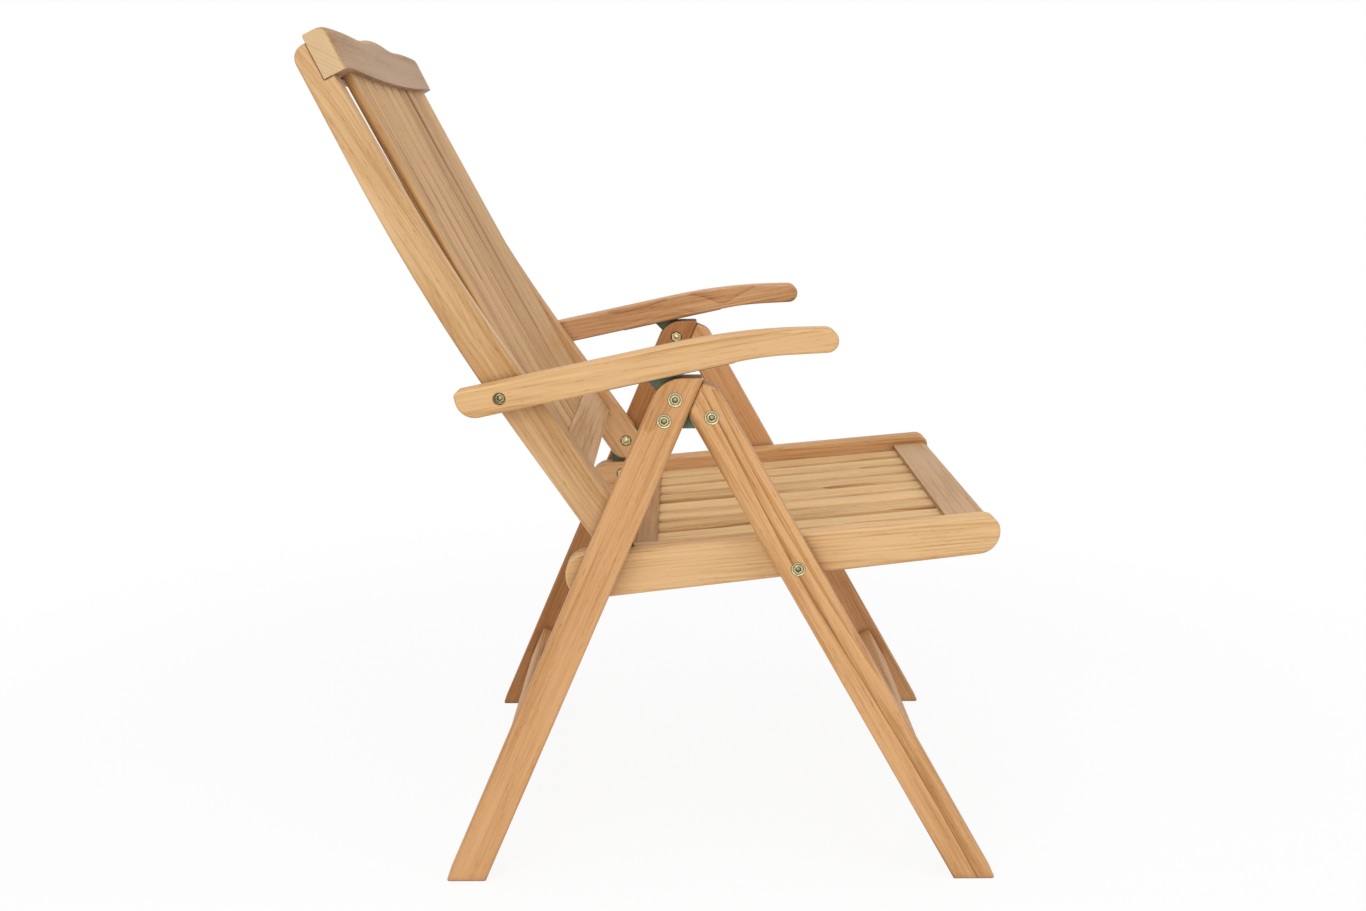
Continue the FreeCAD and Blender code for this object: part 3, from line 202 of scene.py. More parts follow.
def teak(name, turned_to, tone, figure, seed, swirl=0.022, calm=0.0, ends=None, crease=CORNER_SHADE,
         numbered=False):
    """Teak with growth rings round a heart beside the board, fibres, pores and soft patches.

    turned_to is the board's turn and middle, tone the plain wood's colour on a screen, figure
    how dark the rings are, swirl how far they wander in metres, calm how much the fibres give
    way to patches, ends the colour of the cut ends, and the corner shade how far and how strongly
    shade is painted into corners. In a numbered row every board gets another cut."""
    chance = random.Random(seed)
    rows, middle = turned_to
    material = new_material("teak_" + name)
    base = Value(material.node_tree)
    turned = base.node("ShaderNodeMapping", {}, {
        "Vector": base.node("ShaderNodeTexCoord", {}, {}, "Object"),
        "Rotation": rows.to_euler(), "Location": -(rows @ middle)})
    split = base.node("ShaderNodeSeparateXYZ", {}, {"Vector": turned})
    along, across, through = (split.other(axis) for axis in "XYZ")

    def toned(shares):
        """The plain wood's colour with its red, green and blue scaled."""
        return seen(*(part * share for part, share in zip(tone, shares)))

    def dice(number):
        """A number from 0 to 1 by chance, the same for the same number."""
        return base.node("ShaderNodeTexWhiteNoise", {"noise_dimensions": "1D"}, {"W": number})

    start = chance.uniform(-TREE_LONG, TREE_LONG)
    lift = 0.0
    if numbered:
        cut = dice(base.node("ShaderNodeAttribute", {"attribute_name": "board"}, {}, "Fac") + start)
        start = cut * TREE_LONG + start
        across = across + cut * OTHER_CUT[0]
        through = through + cut * OTHER_CUT[1]
        lift = (cut - 0.5) * OTHER_TONE

    def grain(run, close, detail):
        """Noise drawn out along the board: run cycles a metre along it, close cycles across."""
        vector = base.node("ShaderNodeCombineXYZ", {}, {
            "X": along * run + start * run, "Y": across * close, "Z": through * close + start})
        return base.node("ShaderNodeTexNoise", {}, {
            "Vector": vector, "Scale": 1.0, "Detail": detail})

    # rings round a heart that lies outside the board and runs a little out of line with it
    turn = chance.uniform(0, 2 * math.pi)
    reach = chance.uniform(*HEART)
    lean = chance.uniform(-HEART_LEAN, HEART_LEAN)
    wander = (grain(swirl * SWIRL[0], SWIRL[1], 1.0) - 0.5) * swirl
    side = across - reach * math.cos(turn) + wander
    depth = through - reach * math.sin(turn) + along * lean + wander
    year = ((side * side + depth * depth) ** 0.5) / (RING * chance.uniform(*RING_SPREAD))
    whole = base.maths("FLOOR", year)
    late = (year - whole) ** LATE_WOOD * dice(whole + start)

    # from the broadest change to the finest: patches, silky bands, fibres and open pores
    patches, silk, fibre = grain(*PATCHES), grain(*SILK), grain(*FIBRES)
    pores = grain(*PORES).between(*PORE_PEAKS)
    shade = (PLAIN + lift + (patches - 0.5) * (0.8 + calm) + (silk - 0.5) * 0.45
             + (fibre - 0.5) * (0.8 - calm) - late * figure - pores * 0.2)
    colour = base.node("ShaderNodeValToRGB", {"stops": (
        (0.0, toned(DARK_TONE)), (STREAK, toned(STREAK_TONE)), (PLAIN, toned(PLAIN_TONE)),
        (1.0, toned(PALE_TONE)))}, {"Fac": shade})

    # the ends of the board are cut across the fibres, and are darker unless ends says otherwise
    facing = base.node("ShaderNodeVectorMath", {"operation": "DOT_PRODUCT"}, {
        0: base.node("ShaderNodeTexCoord", {}, {}, "Normal"), 1: rows[0]}, "Value")
    end = base.maths("ABSOLUTE", facing).between(*END_TURN)
    if ends:
        early_wood, late_wood = seen(*ends), seen(*(part * 0.72 for part in ends))
    else:
        early_wood, late_wood = toned(END_TONE), toned(END_DARK)
    cut_wood = mixed(base, late * 0.5 + (fibre - 0.5) * 0.5, early_wood, late_wood)
    colour = mixed(base, end * 0.8, colour, cut_wood)

    # sanded edges are a little paler and smoother
    rubbed = at_edges(base, EASED).between(*EASED_TURN) * (0.4 + silk)
    colour = mixed(base, rubbed * 0.35, colour, toned(SANDED_TONE))

    # painted shade: the wood darkens towards a shaded tone where boards meet and corners close in
    reach, strength = crease
    painted_shade = in_corners(base, reach, 6) ** 1.4
    colour = mixed(base, painted_shade * strength, colour, toned(SHADED_TONE))

    roughness = 0.56 + (fibre - 0.5) * 0.25 + pores * 0.15 - rubbed * 0.08 + painted_shade * 0.1
    height = fibre * 0.7 + late * 0.15 - pores * 0.7
    surface(base, colour, roughness, height, bump=0.4, depth=PORE_DEPTH, edge=EASED, gloss=0.28)
    return material


def teak_board(node, tone, figure, seed, **cut):
    """Finish one CAD board with its own cut of teak."""
    dress(node, teak(node, board_turn(node), tone, figure, seed, **cut))


teak_board("rear_leg_right", (208, 158, 107), 0.22, 3, calm=0.2)
# painted shade: the left rear leg gets a darker tone for the shade on the far side of the chair
teak_board("rear_leg_left", (177, 125, 77), 0.25, 5)


# Front legs: the same boards, the right one with a strong figure. The rounded butt at the top
# rolls on the rear leg's edge as the chair folds, round a bolt through the hook plate.

teak_board("front_leg_right", (212, 163, 111), 0.5, 11)
teak_board("front_leg_left", (205, 155, 107), 0.3, 12)


# Stretchers: thin flat rails of the same teak, one between the rear legs and one between the
# front legs. Their ends are tenoned into the legs near the floor.

teak_board("rear_stretcher", (206, 160, 112), 0.25, 13)
teak_board("front_stretcher", (206, 160, 112), 0.25, 14)


# Hook plates, hinge plates and arm tracks: steel cut to shape, the plates 4 mm thick, coated in
# a dark grey-green that is thin at the cut edges. The plates sit in saw cuts and are held by the
# bolts, and the tracks are let into the arms' undersides.

COAT_CLOUDS = 70.0                   # cycles a metre
COAT_GRIT = 900.0
COAT_DEPTH = 0.0002
COAT_THIN = 0.0012                   # how far from an edge the coat is thin
COAT_THIN_TURN = (0.04, 0.3)         # how far it turns from flat where the bare steel begins
COAT_TONES = ((0.3, (60, 74, 62)), (0.5, (84, 98, 80)), (0.7, (112, 122, 98)))
BARE_STEEL = (150, 152, 138)
PLATE_EASED = 0.0008


def coated_steel():
    """Coated steel, clouded and gritty, with a little bare metal at the edges."""
    material = new_material("coated_steel")
    base = Value(material.node_tree)
    place = base.node("ShaderNodeTexCoord", {}, {}, "Object")
    cloud = base.node("ShaderNodeTexNoise", {}, {
        "Vector": place, "Scale": COAT_CLOUDS, "Detail": 3.0})
    grit = base.node("ShaderNodeTexNoise", {}, {
        "Vector": place, "Scale": COAT_GRIT, "Detail": 2.0})
    rubbed = at_edges(base, COAT_THIN).between(*COAT_THIN_TURN) * (cloud + 0.2)
    coat = base.node("ShaderNodeValToRGB", {
        "stops": [(place_in_run, seen(*tone)) for place_in_run, tone in COAT_TONES]},
        {"Fac": cloud * 0.8 + grit * 0.2})
    colour = mixed(base, rubbed * 0.7, coat, seen(*BARE_STEEL))
    roughness = 0.5 + (grit - 0.5) * 0.3 - rubbed * 0.12
    surface(base, colour, roughness, grit, bump=0.35, depth=COAT_DEPTH, edge=PLATE_EASED,
            metallic=rubbed * 0.6 + 0.25)
    return material


steel = coated_steel()
for name in ("leg_plate_right", "leg_plate_left", "hinge_plate_right", "hinge_plate_left"):
    dress(name, steel)

ARM_PIVOT = (0.1791, 0.5815)         # y and z of the bolts that the arms turn on
ARM_SLOPE = math.radians(12)
ARM_UP = Vector((0, math.sin(ARM_SLOPE), math.cos(ARM_SLOPE)))
TRACK_FACE = -0.0170                 # the arm's underside along the track, above those bolts
TRACK_LET_IN = 0.0010
SAME_PLACE = 1e-6                    # corners closer than this are one


def merged_copy(node):
    """A copy of a CAD piece's mesh to work on, with its doubles merged."""
    shell = bmesh.new()
    shell.from_mesh(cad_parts[node].data)
    bmesh.ops.remove_doubles(shell, verts=shell.verts, dist=SAME_PLACE)
    return shell


def as_mesh(shell, name):
    """Turn a shell that was worked on into a plain mesh."""
    mesh = bpy.data.meshes.new(name)
    shell.to_mesh(mesh)
    shell.free()
    return mesh


def in_scene(name, data):
    """Put a mesh, a lamp or a camera into the scene."""
    added = bpy.data.objects.new(name, data)
    bpy.context.collection.objects.link(added)
    return added


for side in ("right", "left"):
    # only half of the track's thickness stands below the wood
    node = "arm_track_" + side
    shell = merged_copy(node)
    for vertex in shell.verts:
        if (vertex.co - Vector((0, *ARM_PIVOT))).dot(ARM_UP) < TRACK_FACE - TRACK_LET_IN / 2:
            vertex.co += TRACK_LET_IN * ARM_UP
    track = in_scene(node + "_let_in", as_mesh(shell, node + "_let_in"))
    track.data.materials.append(steel)
    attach(track, "armrest_" + side)
    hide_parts(node)


# Bolts, nuts, washers and pins: steel plated with zinc and passivated to a pale yellow green.
# The heads are turned with a ring groove round a hexagon socket, and sit in shallow recesses in
# the wood.

PLATING_CLOUDS = 220.0               # cycles a metre
PLATING_GRIT = 2200.0
PLATING_DEPTH = 0.0001
PLATING_TONES = ((0.32, (176, 178, 140)), (0.46, (214, 204, 156)), (0.58, (222, 200, 150)),
                 (0.7, (196, 196, 172)))
HEAD_EASED = 0.0003
HEAD_SHADE = 0.004                   # how far the painted shade in a head's socket and groove reaches
HEAD_CLOSED = (0.12, 0.62)           # how closed in a place is where the painted shade begins, and where it is full
SOCKET_SHADE = (66, 56, 34)


def plated_zinc():
    """Zinc with the yellow and green clouds of its passivation, and painted shade in its sockets
    and grooves.
    """
    material = new_material("plated_zinc")
    base = Value(material.node_tree)
    place = base.node("ShaderNodeTexCoord", {}, {}, "Object")
    cloud = base.node("ShaderNodeTexNoise", {}, {
        "Vector": place, "Scale": PLATING_CLOUDS, "Detail": 2.0, "Distortion": 1.2})
    grit = base.node("ShaderNodeTexNoise", {}, {
        "Vector": place, "Scale": PLATING_GRIT, "Detail": 2.0})
    plate = base.node("ShaderNodeValToRGB", {
        "stops": [(place_in_run, seen(*tone)) for place_in_run, tone in PLATING_TONES]},
        {"Fac": cloud})
    # painted shade: sockets, grooves and recesses darken towards a dark tone where the head closes
    # in
    painted_shade = in_corners(base, HEAD_SHADE, 8).between(*HEAD_CLOSED)
    plate = mixed(base, painted_shade * 0.85, plate, seen(*SOCKET_SHADE))
    roughness = 0.36 + (grit - 0.5) * 0.25 + (cloud - 0.5) * 0.2 + painted_shade * 0.3
    surface(base, plate, roughness, grit, bump=0.25, depth=PLATING_DEPTH, edge=HEAD_EASED,
            metallic=0.8)
    return material


zinc = plated_zinc()
for name in ("seat_pivot_washers", "seat_rest_pins", "latch_bars_right", "latch_bars_left"):
    dress(name, zinc)

SOCKET_WIDE = 0.0068                 # across the flats
SOCKET_DEEP = 0.0042
DISH = (0.0028, 0.0046)              # the radii of the cutter of the dish round the socket
DISH_LONG = 0.0018                   # half of that cutter goes into the head
GROOVE = (0.0050, 0.0063)            # the ring groove's inner and outer radius
GROOVE_DEEP = 0.0009
ROUND_STEPS = 32
BOLT_AT_LEAST = 0.015                # a shorter solid is a nut or a washer
SMOOTH_BELOW = math.radians(40)      # flatter edges than this are shaded smooth


def new_tree(name, inputs):
    """A geometry tree with named inputs. It gives back a value to build on, and the inputs."""
    tree = bpy.data.node_groups.new(name, "GeometryNodeTree")
    for label, kind in inputs.items():
        tree.interface.new_socket(label, in_out="INPUT", socket_type="NodeSocket" + kind)
    tree.interface.new_socket("Made", in_out="OUTPUT", socket_type="NodeSocketGeometry")
    base = Value(tree)
    source = base.node("NodeGroupInput", {}, {})
    return base, [source.other(label) for label in inputs]


def ended(base, made, finish):
    """End a tree with what it made, as a real mesh with its finish."""
    real = base.node("GeometryNodeRealizeInstances", {}, {"Geometry": made})
    dressed = base.node("GeometryNodeSetMaterial", {}, {"Geometry": real, "Material": finish})
    base.node("NodeGroupOutput", {}, {"Made": dressed})
    return base.tree


def cut_away(base, body, cutters):
    """What is left of a body when the cutters are taken out of it."""
    return base.node("GeometryNodeMeshBoolean", {"operation": "DIFFERENCE", "solver": "EXACT"},
                     {"Mesh 1": body, "Mesh 2": cutters})


def made_by(name, mesh, tree, values):
    """An object whose mesh is what a tree makes of another mesh, as a plain mesh."""
    piece = in_scene(name, mesh)
    modifier = piece.modifiers.new("made", "NODES")
    modifier.node_group = tree
    for item in tree.interface.items_tree:
        if item.in_out == "INPUT" and item.name in values:
            modifier[item.identifier] = values[item.name]
    graph = bpy.context.evaluated_depsgraph_get()
    plain = bpy.data.meshes.new_from_object(piece.evaluated_get(graph))
    piece.modifiers.clear()
    piece.data = plain
    plain.shade_smooth()
    plain.set_sharp_from_angle(angle=SMOOTH_BELOW)
    return piece


def turned_heads():
    """Cut a dish, a ring groove and a hexagon socket into every head that a loose point marks.
    The cutters are centred on the head's face, so they are at least twice as long as the cut."""
    base, (bolts, flats, deep, finish) = new_tree("turned_heads", {
        "Bolts": "Geometry", "Across flats": "Float", "Deep": "Float", "Finish": "Material"})
    faces = base.node("GeometryNodeInputMeshVertexNeighbors", {}, {}, "Face Count")
    loose = base.node("FunctionNodeCompare", {"data_type": "INT", "operation": "EQUAL"},
                      {"A": faces, "B": 0})
    marks = base.node("GeometryNodeSeparateGeometry", {}, {"Geometry": bolts, "Selection": loose})
    solids = marks.other("Inverted")
    hexagon = base.node("GeometryNodeMeshCylinder", {}, {
        "Vertices": 6, "Radius": flats / math.sqrt(3), "Depth": deep * 2.0})
    dish = base.node("GeometryNodeMeshCone", {}, {
        "Vertices": ROUND_STEPS, "Radius Bottom": DISH[0], "Radius Top": DISH[1],
        "Depth": DISH_LONG})
    dish = base.node("GeometryNodeTransform", {}, {
        "Geometry": dish, "Translation": (0, 0, -DISH_LONG / 2)})
    core, ring = (base.node("GeometryNodeMeshCylinder", {}, {
        "Vertices": ROUND_STEPS, "Radius": radius, "Depth": length})
        for radius, length in zip(GROOVE, (GROOVE_DEEP * 4, GROOVE_DEEP * 2)))
    groove = cut_away(base, ring, core)

    # a cutter's length is turned from z to the side of the chair that its head is on
    place = base.node("GeometryNodeInputPosition", {}, {})
    side = base.maths("SIGN", base.node("ShaderNodeSeparateXYZ", {}, {"Vector": place}))
    euler = base.node("ShaderNodeCombineXYZ", {}, {"Y": side * (math.pi / 2)})
    turn = base.node("FunctionNodeEulerToRotation", {}, {"Euler": euler})
    cutters = []
    for shape in (hexagon, dish, groove):
        placed = base.node("GeometryNodeInstanceOnPoints", {}, {
            "Points": marks, "Instance": shape, "Rotation": turn})
        cutters.append(base.node("GeometryNodeRealizeInstances", {}, {"Geometry": placed}))
    return ended(base, cut_away(base, solids, cutters), finish)


def separate_solids(shell):
    """The corner points of each separate solid of a shell."""
    reached = set()
    solids = []
    for first in shell.verts:
        if first in reached:
            continue
        reached.add(first)
        waiting = [first]
        points = []
        while waiting:
            vertex = waiting.pop()
            points.append(vertex.co)
            for edge in vertex.link_edges:
                other = edge.other_vert(vertex)
                if other not in reached:
                    reached.add(other)
                    waiting.append(other)
        solids.append(points)
    return solids


def marked_copy(node):
    """A copy of a CAD node of bolts, with a loose point on the face of every head."""
    shell = merged_copy(node)
    heads = []
    for solid in separate_solids(shell):
        low = [min(point[axis] for point in solid) for axis in range(3)]
        high = [max(point[axis] for point in solid) for axis in range(3)]
        if high[0] - low[0] > BOLT_AT_LEAST:
            outer = low[0] if low[0] + high[0] < 0 else high[0]
            heads.append((outer, (low[1] + high[1]) / 2, (low[2] + high[2]) / 2))
    for head in heads:
        shell.verts.new(head)
    return as_mesh(shell, node + "_turned")


heads_tree = turned_heads()
for node, body in (("leg_plate_bolts", "rear_leg_frame"),
                   ("fold_pivot_bolts", "front_leg_frame"),
                   ("seat_pivot_bolts", "front_leg_frame"),
                   ("hinge_plate_bolts", "seat"),
                   ("back_pivot_bolts", "back_hinge_bolts"),
                   ("arm_pivot_bolt_right", "arm_bolt_right"),
                   ("arm_pivot_bolt_left", "arm_bolt_left")):
    bolts = made_by(node + "_turned", marked_copy(node), heads_tree, {
        "Across flats": SOCKET_WIDE, "Deep": SOCKET_DEEP, "Finish": zinc})
    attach(bolts, body)
    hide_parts(node)


# Seat frame: two deep side rails with a rounded nose, and two cross rails tenoned between them.
# The front legs are bolted to the side rails, and the hinge plates sit in saw cuts behind.

teak_board("seat_rail_right", (217, 176, 125), 0.28, 21)
teak_board("seat_rail_left", (208, 160, 110), 0.28, 22)
# painted shade: the front rail darkens strongly where the slats' ends meet it, and the rear rail's
# darker tone stands for the shade it sits in
teak_board("seat_front_rail", (193, 156, 117), 0.2, 23, crease=(0.03, 1.0))
teak_board("seat_rear_rail", (174, 132, 88), 0.2, 24)


# Seat slats: nine narrow boards with rounded edges, from front to back, tongued into the cross
# rails a little below their tops.

SLATS = 9
SLATS_APART = 0.050                  # from middle to middle
SEAT_SLAT_WIDE = 0.034
SEAT_SLAT_THICK = 0.015
SEAT_SLAT_ROUND = 0.0022
SEAT_SLOPE = math.radians(5)
SEAT_PIVOT = (-0.153222, 0.3843)     # y and z of the bolts between the seat and the front legs
SEAT_SLAT_TOP = 0.0136               # above those bolts
SEAT_SLAT_ENDS = (0.1878, -0.2098)   # ahead of those bolts and behind them
CORNER_STEPS = 4
SIDEWAYS = Vector((1, 0, 0))


def on_slope(pivot, slope, ahead, up):
    """The chair's y and z of a point ahead of a pivot and above it, measured on a slope."""
    return (pivot[0] - ahead * math.cos(slope) + up * math.sin(slope),
            pivot[1] + ahead * math.sin(slope) + up * math.cos(slope))


def rounded(width, thick, radius):
    """The outline of a board's section, from one rounded corner to the next."""
    points = []
    for turn, (right, top) in enumerate(((1, 1), (-1, 1), (-1, -1), (1, -1))):
        corner = Vector((right * (width / 2 - radius), top * (thick / 2 - radius)))
        for step in range(CORNER_STEPS + 1):
            angle = math.pi / 2 * (turn + step / CORNER_STEPS)
            points.append(corner + radius * Vector((math.cos(angle), math.sin(angle))))
    return points


def drawn_through(name, sections):
    """A closed mesh drawn through a row of sections with the same number of points."""
    count = len(sections[0])
    faces = []
    for row in range(len(sections) - 1):
        for step in range(count):
            after = (step + 1) % count
            faces.append((row * count + step, row * count + after,
                          (row + 1) * count + after, (row + 1) * count + step))
    last = (len(sections) - 1) * count
    faces.append(tuple(reversed(range(count))))
    faces.append(tuple(range(last, last + count)))
    mesh = bpy.data.meshes.new(name)
    mesh.from_pydata([point for section in sections for point in section], [], faces)
    shell = bmesh.new()
    shell.from_mesh(mesh)
    bmesh.ops.recalc_face_normals(shell, faces=shell.faces)
    shell.to_mesh(mesh)
    shell.free()
    return mesh


def bent_board(name, path, width, thick, radius):
    """A board with rounded long edges, whose middle follows a path of y and z points."""
    outline = rounded(width, thick, radius)
    sections = []
    for place, spot in enumerate(path):
        before = Vector(path[max(place - 1, 0)])
        after = Vector(path[min(place + 1, len(path) - 1)])
        run = (after - before).normalized()
        sections.append([(point.x, spot[0] - run.y * point.y, spot[1] + run.x * point.y)
                         for point in outline])
    return drawn_through(name, sections)


def lie_of(start, end):
    """The turn and middle of a board between two y and z points, as board_turn gives them."""
    along = Vector((0, *(end - start))).normalized()
    return (Matrix((along, SIDEWAYS, along.cross(SIDEWAYS))), Vector((0, *(end + start) / 2)))


def row_of_boards():
    """Like boards side by side, each with its number kept for its grain."""
    base, (board, count, pitch, finish) = new_tree("row_of_boards", {
        "Board": "Geometry", "Count": "Int", "Pitch": "Float", "Finish": "Material"})
    line = base.node("GeometryNodeMeshLine", {}, {
        "Count": count,
        "Start Location": base.node("ShaderNodeCombineXYZ", {}, {
            "X": (count - 1.0) * -0.5 * pitch}),
        "Offset": base.node("ShaderNodeCombineXYZ", {}, {"X": pitch})})
    placed = base.node("GeometryNodeInstanceOnPoints", {}, {"Points": line, "Instance": board})
    kept = base.node("GeometryNodeStoreNamedAttribute",
                     {"data_type": "FLOAT", "domain": "INSTANCE"}, {
                         "Geometry": placed, "Name": "board",
                         "Value": base.node("GeometryNodeInputIndex", {}, {})})
    return ended(base, kept, finish)


boards_tree = row_of_boards()
front, rear = (Vector(on_slope(SEAT_PIVOT, SEAT_SLOPE, end, SEAT_SLAT_TOP - SEAT_SLAT_THICK / 2))
               for end in SEAT_SLAT_ENDS)
seat_teak = teak("seat_slats", lie_of(front, rear), (219, 181, 129), 0.45, 41,
                 crease=(0.012, 0.5), numbered=True)
seat_slat = bent_board("seat_slat", [tuple(rear), tuple(front)], SEAT_SLAT_WIDE,
                       SEAT_SLAT_THICK, SEAT_SLAT_ROUND)
slats = made_by("seat_slats", seat_slat, boards_tree, {
    "Count": SLATS, "Pitch": SLATS_APART, "Finish": seat_teak})
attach(slats, "seat")
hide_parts(*["seat_slat_%d" % number for number in range(1, SLATS + 1)])


# Back frame: two stiles, sawn to their bend from wide boards, and a lower rail between them.
# Each stile turns on the bolt through its hinge plate.

teak_board("back_stile_right", (217, 179, 132), 0.16, 31, swirl=0.045, calm=0.45)
teak_board("back_stile_left", (206, 160, 112), 0.2, 32)
teak_board("back_bottom_rail", (200, 160, 118), 0.25, 34)


# Crest rail: one thick board with a wavy top, lapped over the tops of the stiles. Its front
# corners are rounded over at both ends, and its pale end grain shows there.

CREST_LEAN = math.radians(25.9)
CREST_AHEAD = Vector((0, -math.cos(CREST_LEAN), math.sin(CREST_LEAN)))
CREST_ROUND = 0.009
CREST_STEPS = 10
CREST_FLAT = math.radians(6)         # flatter edges than this are shaded smooth

shell = merged_copy("crest_rail")
end = max(vertex.co.x for vertex in shell.verts)
rear = min(vertex.co.dot(CREST_AHEAD) for vertex in shell.verts)
thick = max(vertex.co.dot(CREST_AHEAD) for vertex in shell.verts) - rear
for step in range(1, CREST_STEPS + 1):
    inset = CREST_ROUND * (1 - math.cos(math.pi / 2 * step / CREST_STEPS))
    for hand in (-1, 1):
        bmesh.ops.bisect_plane(shell, geom=[*shell.verts, *shell.edges, *shell.faces],
                               dist=SAME_PLACE, plane_co=(hand * (end - inset), 0, 0),
                               plane_no=(1, 0, 0))
for vertex in shell.verts:
    # the front face falls back along a quarter of a circle, and the rear face stays
    into_round = CREST_ROUND - (end - abs(vertex.co.x))
    if into_round > 0:
        drop = CREST_ROUND - math.sqrt(max(CREST_ROUND ** 2 - into_round ** 2, 0))
        vertex.co -= CREST_AHEAD * (vertex.co.dot(CREST_AHEAD) - rear) * drop / thick
crest = in_scene("crest_rounded", as_mesh(shell, "crest_rounded"))
crest.data.shade_smooth()
crest.data.set_sharp_from_angle(angle=CREST_FLAT)
crest.data.materials.append(teak("crest_rail", board_turn("crest_rail"), (176, 143, 112), 0.1, 33,
                                 swirl=0.06, calm=0.3, ends=(216, 184, 138)))
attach(crest, "back")
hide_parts("crest_rail")


# Back slats: nine bent boards that rise from the lower rail, curve with the back, and end in the
# crest rail just ahead of the stiles.

BACK_PIVOT = (0.060945, 0.428502)    # y and z of the bolts that the back turns on
BACK_LEAN = math.radians(34.2)
BACK_SLAT_WIDE = 0.042
BACK_SLAT_THICK = 0.012
BACK_SLAT_ROUND = 0.0032
BACK_SLAT_LOW = (-0.0037, 0.092)     # ahead of those bolts and up the back's lower run
BACK_SLAT_KNEE = (0.0025, 0.2067)
BACK_SLAT_HIGH = (0.0489, 0.5842)
BACK_SLAT_STEPS = 16

low, knee, high = (Vector(on_slope(BACK_PIVOT, BACK_LEAN, *spot))
                   for spot in (BACK_SLAT_LOW, BACK_SLAT_KNEE, BACK_SLAT_HIGH))
path = []
for step in range(BACK_SLAT_STEPS + 1):
    share = step / BACK_SLAT_STEPS
    path.append(tuple((1 - share) ** 2 * low + 2 * share * (1 - share) * knee
                      + share ** 2 * high))
back_teak = teak("back_slats", lie_of(low, high), (202, 161, 112), 0.45, 42,
                 crease=(0.01, 0.55), numbered=True)
back_slat = bent_board("back_slat", path, BACK_SLAT_WIDE, BACK_SLAT_THICK, BACK_SLAT_ROUND)
slats = made_by("back_slats", back_slat, boards_tree, {
    "Count": SLATS, "Pitch": SLATS_APART, "Finish": back_teak})
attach(slats, "back")
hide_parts(*["back_slat_%d" % number for number in range(1, SLATS + 1)])


# Arms: boards of the same teak, sawn to a long curve that falls to a rounded tip, with a groove
# below for the hook. Each turns on a bolt into its stile.

teak_board("arm_right", (214, 171, 119), 0.3, 51)
teak_board("arm_left", (208, 162, 118), 0.28, 52, swirl=0.06)


# Screws under the arms: small countersunk screws that hold each track, two on each side of its
# slot and one in front of it.

ARM_SIDE = 0.278                     # from the chair's middle to an arm's
SCREW_RADIUS = 0.0029
SCREW_DEEP = 0.0016
SCREW_TIP = 0.55                     # the head's lower radius, as a share of its upper one
SCREW_SUNK = 0.85                    # how much of the head is in the wood
SCREW_STEPS = 28
RECESS = (0.0028, 0.0007, 0.0012)    # a bar of the cross: its length, width and twice its depth
SCREW_SPOTS = (                      # ahead of the arm's bolt and sideways from its middle
    (0.130, -0.00765), (0.130, 0.00765), (0.238, -0.00765), (0.238, 0.00765), (0.2545, 0.0))


def screw_heads():
    """A countersunk head with a cross recess on every point, facing along a direction."""
    base, (spots, radius, depth, facing, finish) = new_tree("screw_heads", {
        "Spots": "Geometry", "Head radius": "Float", "Head depth": "Float", "Facing": "Vector",
        "Finish": "Material"})
    head = base.node("GeometryNodeMeshCone", {}, {
        "Vertices": SCREW_STEPS, "Radius Top": radius, "Radius Bottom": radius * SCREW_TIP,
        "Depth": depth})
    lift = base.node("ShaderNodeCombineXYZ", {}, {"Z": depth})
    bars = []
    for size in (RECESS, (RECESS[1], RECESS[0], RECESS[2])):
        bar = base.node("GeometryNodeMeshCube", {}, {"Size": size})
        bars.append(base.node("GeometryNodeTransform", {}, {
            "Geometry": bar, "Translation": lift}))
    turn = base.node("FunctionNodeAlignRotationToVector", {"axis": "Z"}, {"Vector": facing})
    placed = base.node("GeometryNodeInstanceOnPoints", {}, {
        "Points": spots, "Instance": cut_away(base, head, bars), "Rotation": turn})
    return ended(base, placed, finish)


screws_tree = screw_heads()
for side, hand in (("right", -1), ("left", 1)):
    spots = [(hand * ARM_SIDE + sideways,
              *on_slope(ARM_PIVOT, ARM_SLOPE, ahead, TRACK_FACE + SCREW_DEEP * SCREW_SUNK))
             for ahead, sideways in SCREW_SPOTS]
    mesh = bpy.data.meshes.new("track_screws_" + side)
    mesh.from_pydata(spots, [], [])
    screws = made_by("track_screws_" + side, mesh, screws_tree, {
        "Head radius": SCREW_RADIUS, "Head depth": SCREW_DEEP, "Facing": -ARM_UP, "Finish": zinc})
    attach(screws, "armrest_" + side)


# The studio: a white floor that keeps a faint shadow, soft lamps above and beside the chair, and
# a camera level with the top of the back, looking slightly down at the sitter's right side.

FLOOR_REACH = 12.0
FLOOR_TONE = (0.92, 0.92, 0.92, 1.0)
FLOOR_GLOW = 0.9                     # how white the camera sees the floor under the chair
SHADOW_REACH = (0.75, 1.6)           # the shadow fades out between these
FILL = 0.57                          # the light that comes from all round
WHITE = (1.0, 1.0, 1.0, 1.0)
LAMPS = (                            # name, place, what it points at, size, watts
    ("top", (-0.6, 0.1, 2.6), (0.0, 0.0, 0.4), 1.8, 19.0),
    ("side", (-2.6, 0.9, 1.5), (0.0, 0.0, 0.45), 1.6, 22.5),
    ("front", (-1.6, -2.2, 1.2), (0.0, 0.0, 0.45), 1.4, 11.0),
)
PHOTO_WIDTH = 1366
FOCAL = 1400                         # in the photo's pixels
SENSOR = 36.0
EYE = (-1.8178, -0.0217, 0.8404)
YAW, PITCH, ROLL = 0.0011, 0.2094, -0.0051   # from a level look along x, in radians


def seen_white(base):
    """1 for the rays that show the background, 0 for the rays that light the chair."""
    path = base.node("ShaderNodeLightPath", {}, {})
    camera, glossy, clear = (path.other("Is %s Ray" % kind)
                             for kind in ("Camera", "Glossy", "Transmission"))
    return base.maths("MAXIMUM", base.maths("MAXIMUM", camera, glossy), clear)


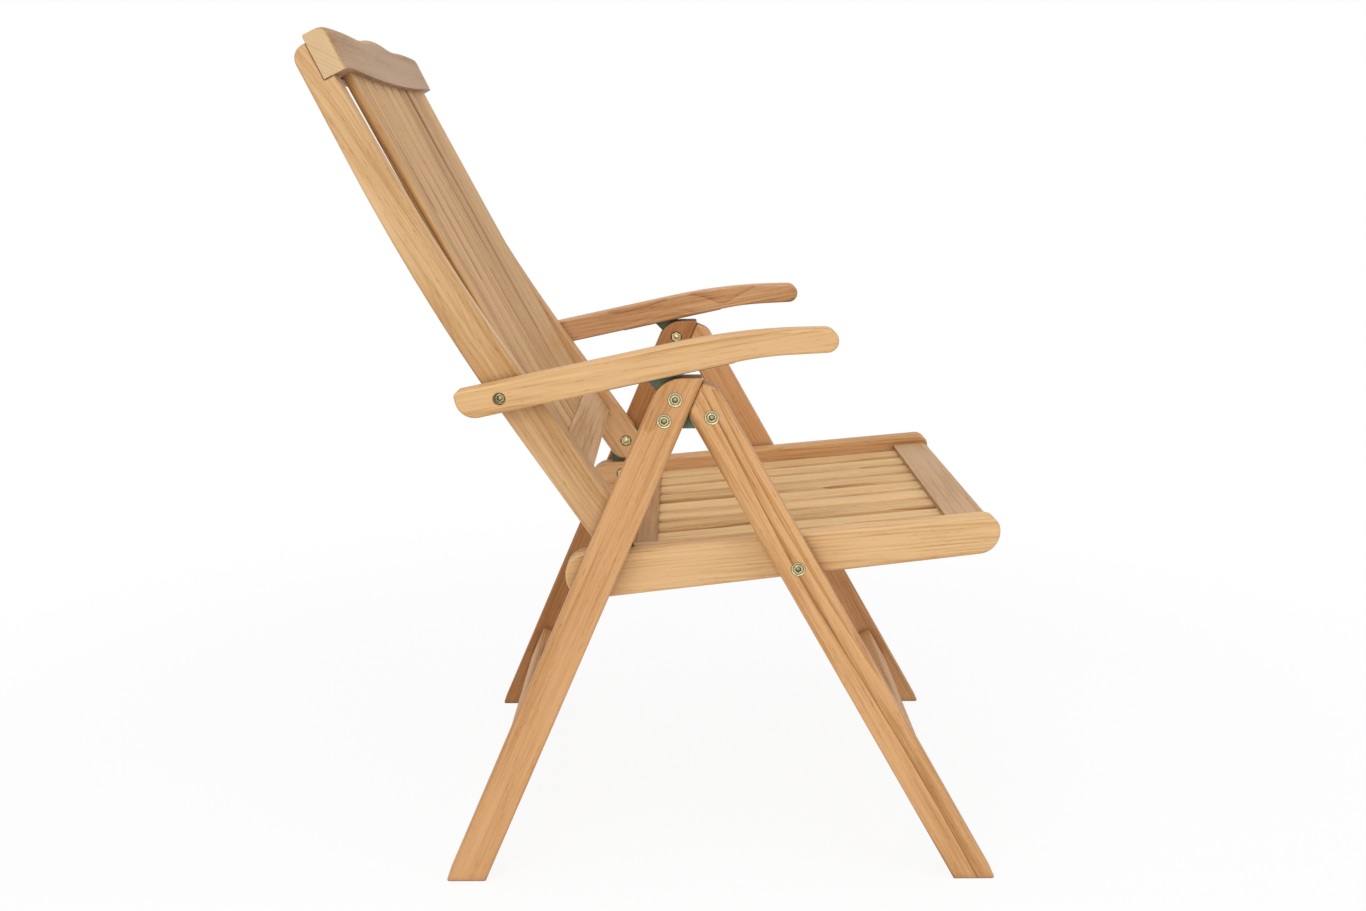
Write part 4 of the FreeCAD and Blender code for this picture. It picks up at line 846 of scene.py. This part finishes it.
mesh = bpy.data.meshes.new("floor")
mesh.from_pydata([(x * FLOOR_REACH, y * FLOOR_REACH, 0.0)
                  for x, y in ((-1, -1), (1, -1), (1, 1), (-1, 1))], [], [(0, 1, 2, 3)])
floor = in_scene("floor", mesh)
paper = new_material("floor_paper")
base = Value(paper.node_tree)
matt = base.node("ShaderNodeBsdfDiffuse", {}, {"Color": FLOOR_TONE})
glow = base.node("ShaderNodeEmission", {}, {"Strength": 1.0})
far = base.node("ShaderNodeVectorMath", {"operation": "LENGTH"},
                {0: base.node("ShaderNodeTexCoord", {}, {}, "Object")}, "Value")
whiteness = seen_white(base) * (FLOOR_GLOW + far.between(*SHADOW_REACH) * (1 - FLOOR_GLOW))
blend = base.node("ShaderNodeMixShader", {}, {"Fac": whiteness, 1: matt, 2: glow})
base.node("ShaderNodeOutputMaterial", {}, {"Surface": blend})
mesh.materials.append(paper)

for name, spot, target, size, power in LAMPS:
    lamp = bpy.data.lights.new(name, "AREA")
    lamp.size = size
    lamp.energy = power
    holder = in_scene(name, lamp)
    holder.location = spot
    holder.rotation_euler = (Vector(target) - Vector(spot)).to_track_quat("-Z", "Y").to_euler()

world = bpy.data.worlds.new("studio")
world.use_nodes = True
world.node_tree.nodes.clear()
base = Value(world.node_tree)
fill = base.node("ShaderNodeBackground", {}, {"Color": WHITE, "Strength": FILL})
white = base.node("ShaderNodeBackground", {}, {"Color": WHITE, "Strength": 1.0})
both = base.node("ShaderNodeMixShader", {}, {"Fac": seen_white(base), 1: fill, 2: white})
base.node("ShaderNodeOutputWorld", {}, {"Surface": both})
bpy.context.scene.world = world

level = Vector((math.cos(YAW), -math.sin(YAW), 0.0))
sideways = Vector((-math.sin(YAW), -math.cos(YAW), 0.0))
upward = Vector((0.0, 0.0, 1.0))
ahead = level * math.cos(PITCH) - upward * math.sin(PITCH)
above = upward * math.cos(PITCH) + level * math.sin(PITCH)
right = sideways * math.cos(ROLL) + above * math.sin(ROLL)
above = above * math.cos(ROLL) - sideways * math.sin(ROLL)
lens = bpy.data.cameras.new("camera")
lens.sensor_width = SENSOR
lens.lens = FOCAL * SENSOR / PHOTO_WIDTH
camera = in_scene("camera", lens)
camera.matrix_world = (Matrix.Translation(EYE)
                       @ Matrix((right, above, -ahead)).transposed().to_4x4())
bpy.context.scene.camera = camera
bpy.context.scene.view_settings.view_transform = "Standard"
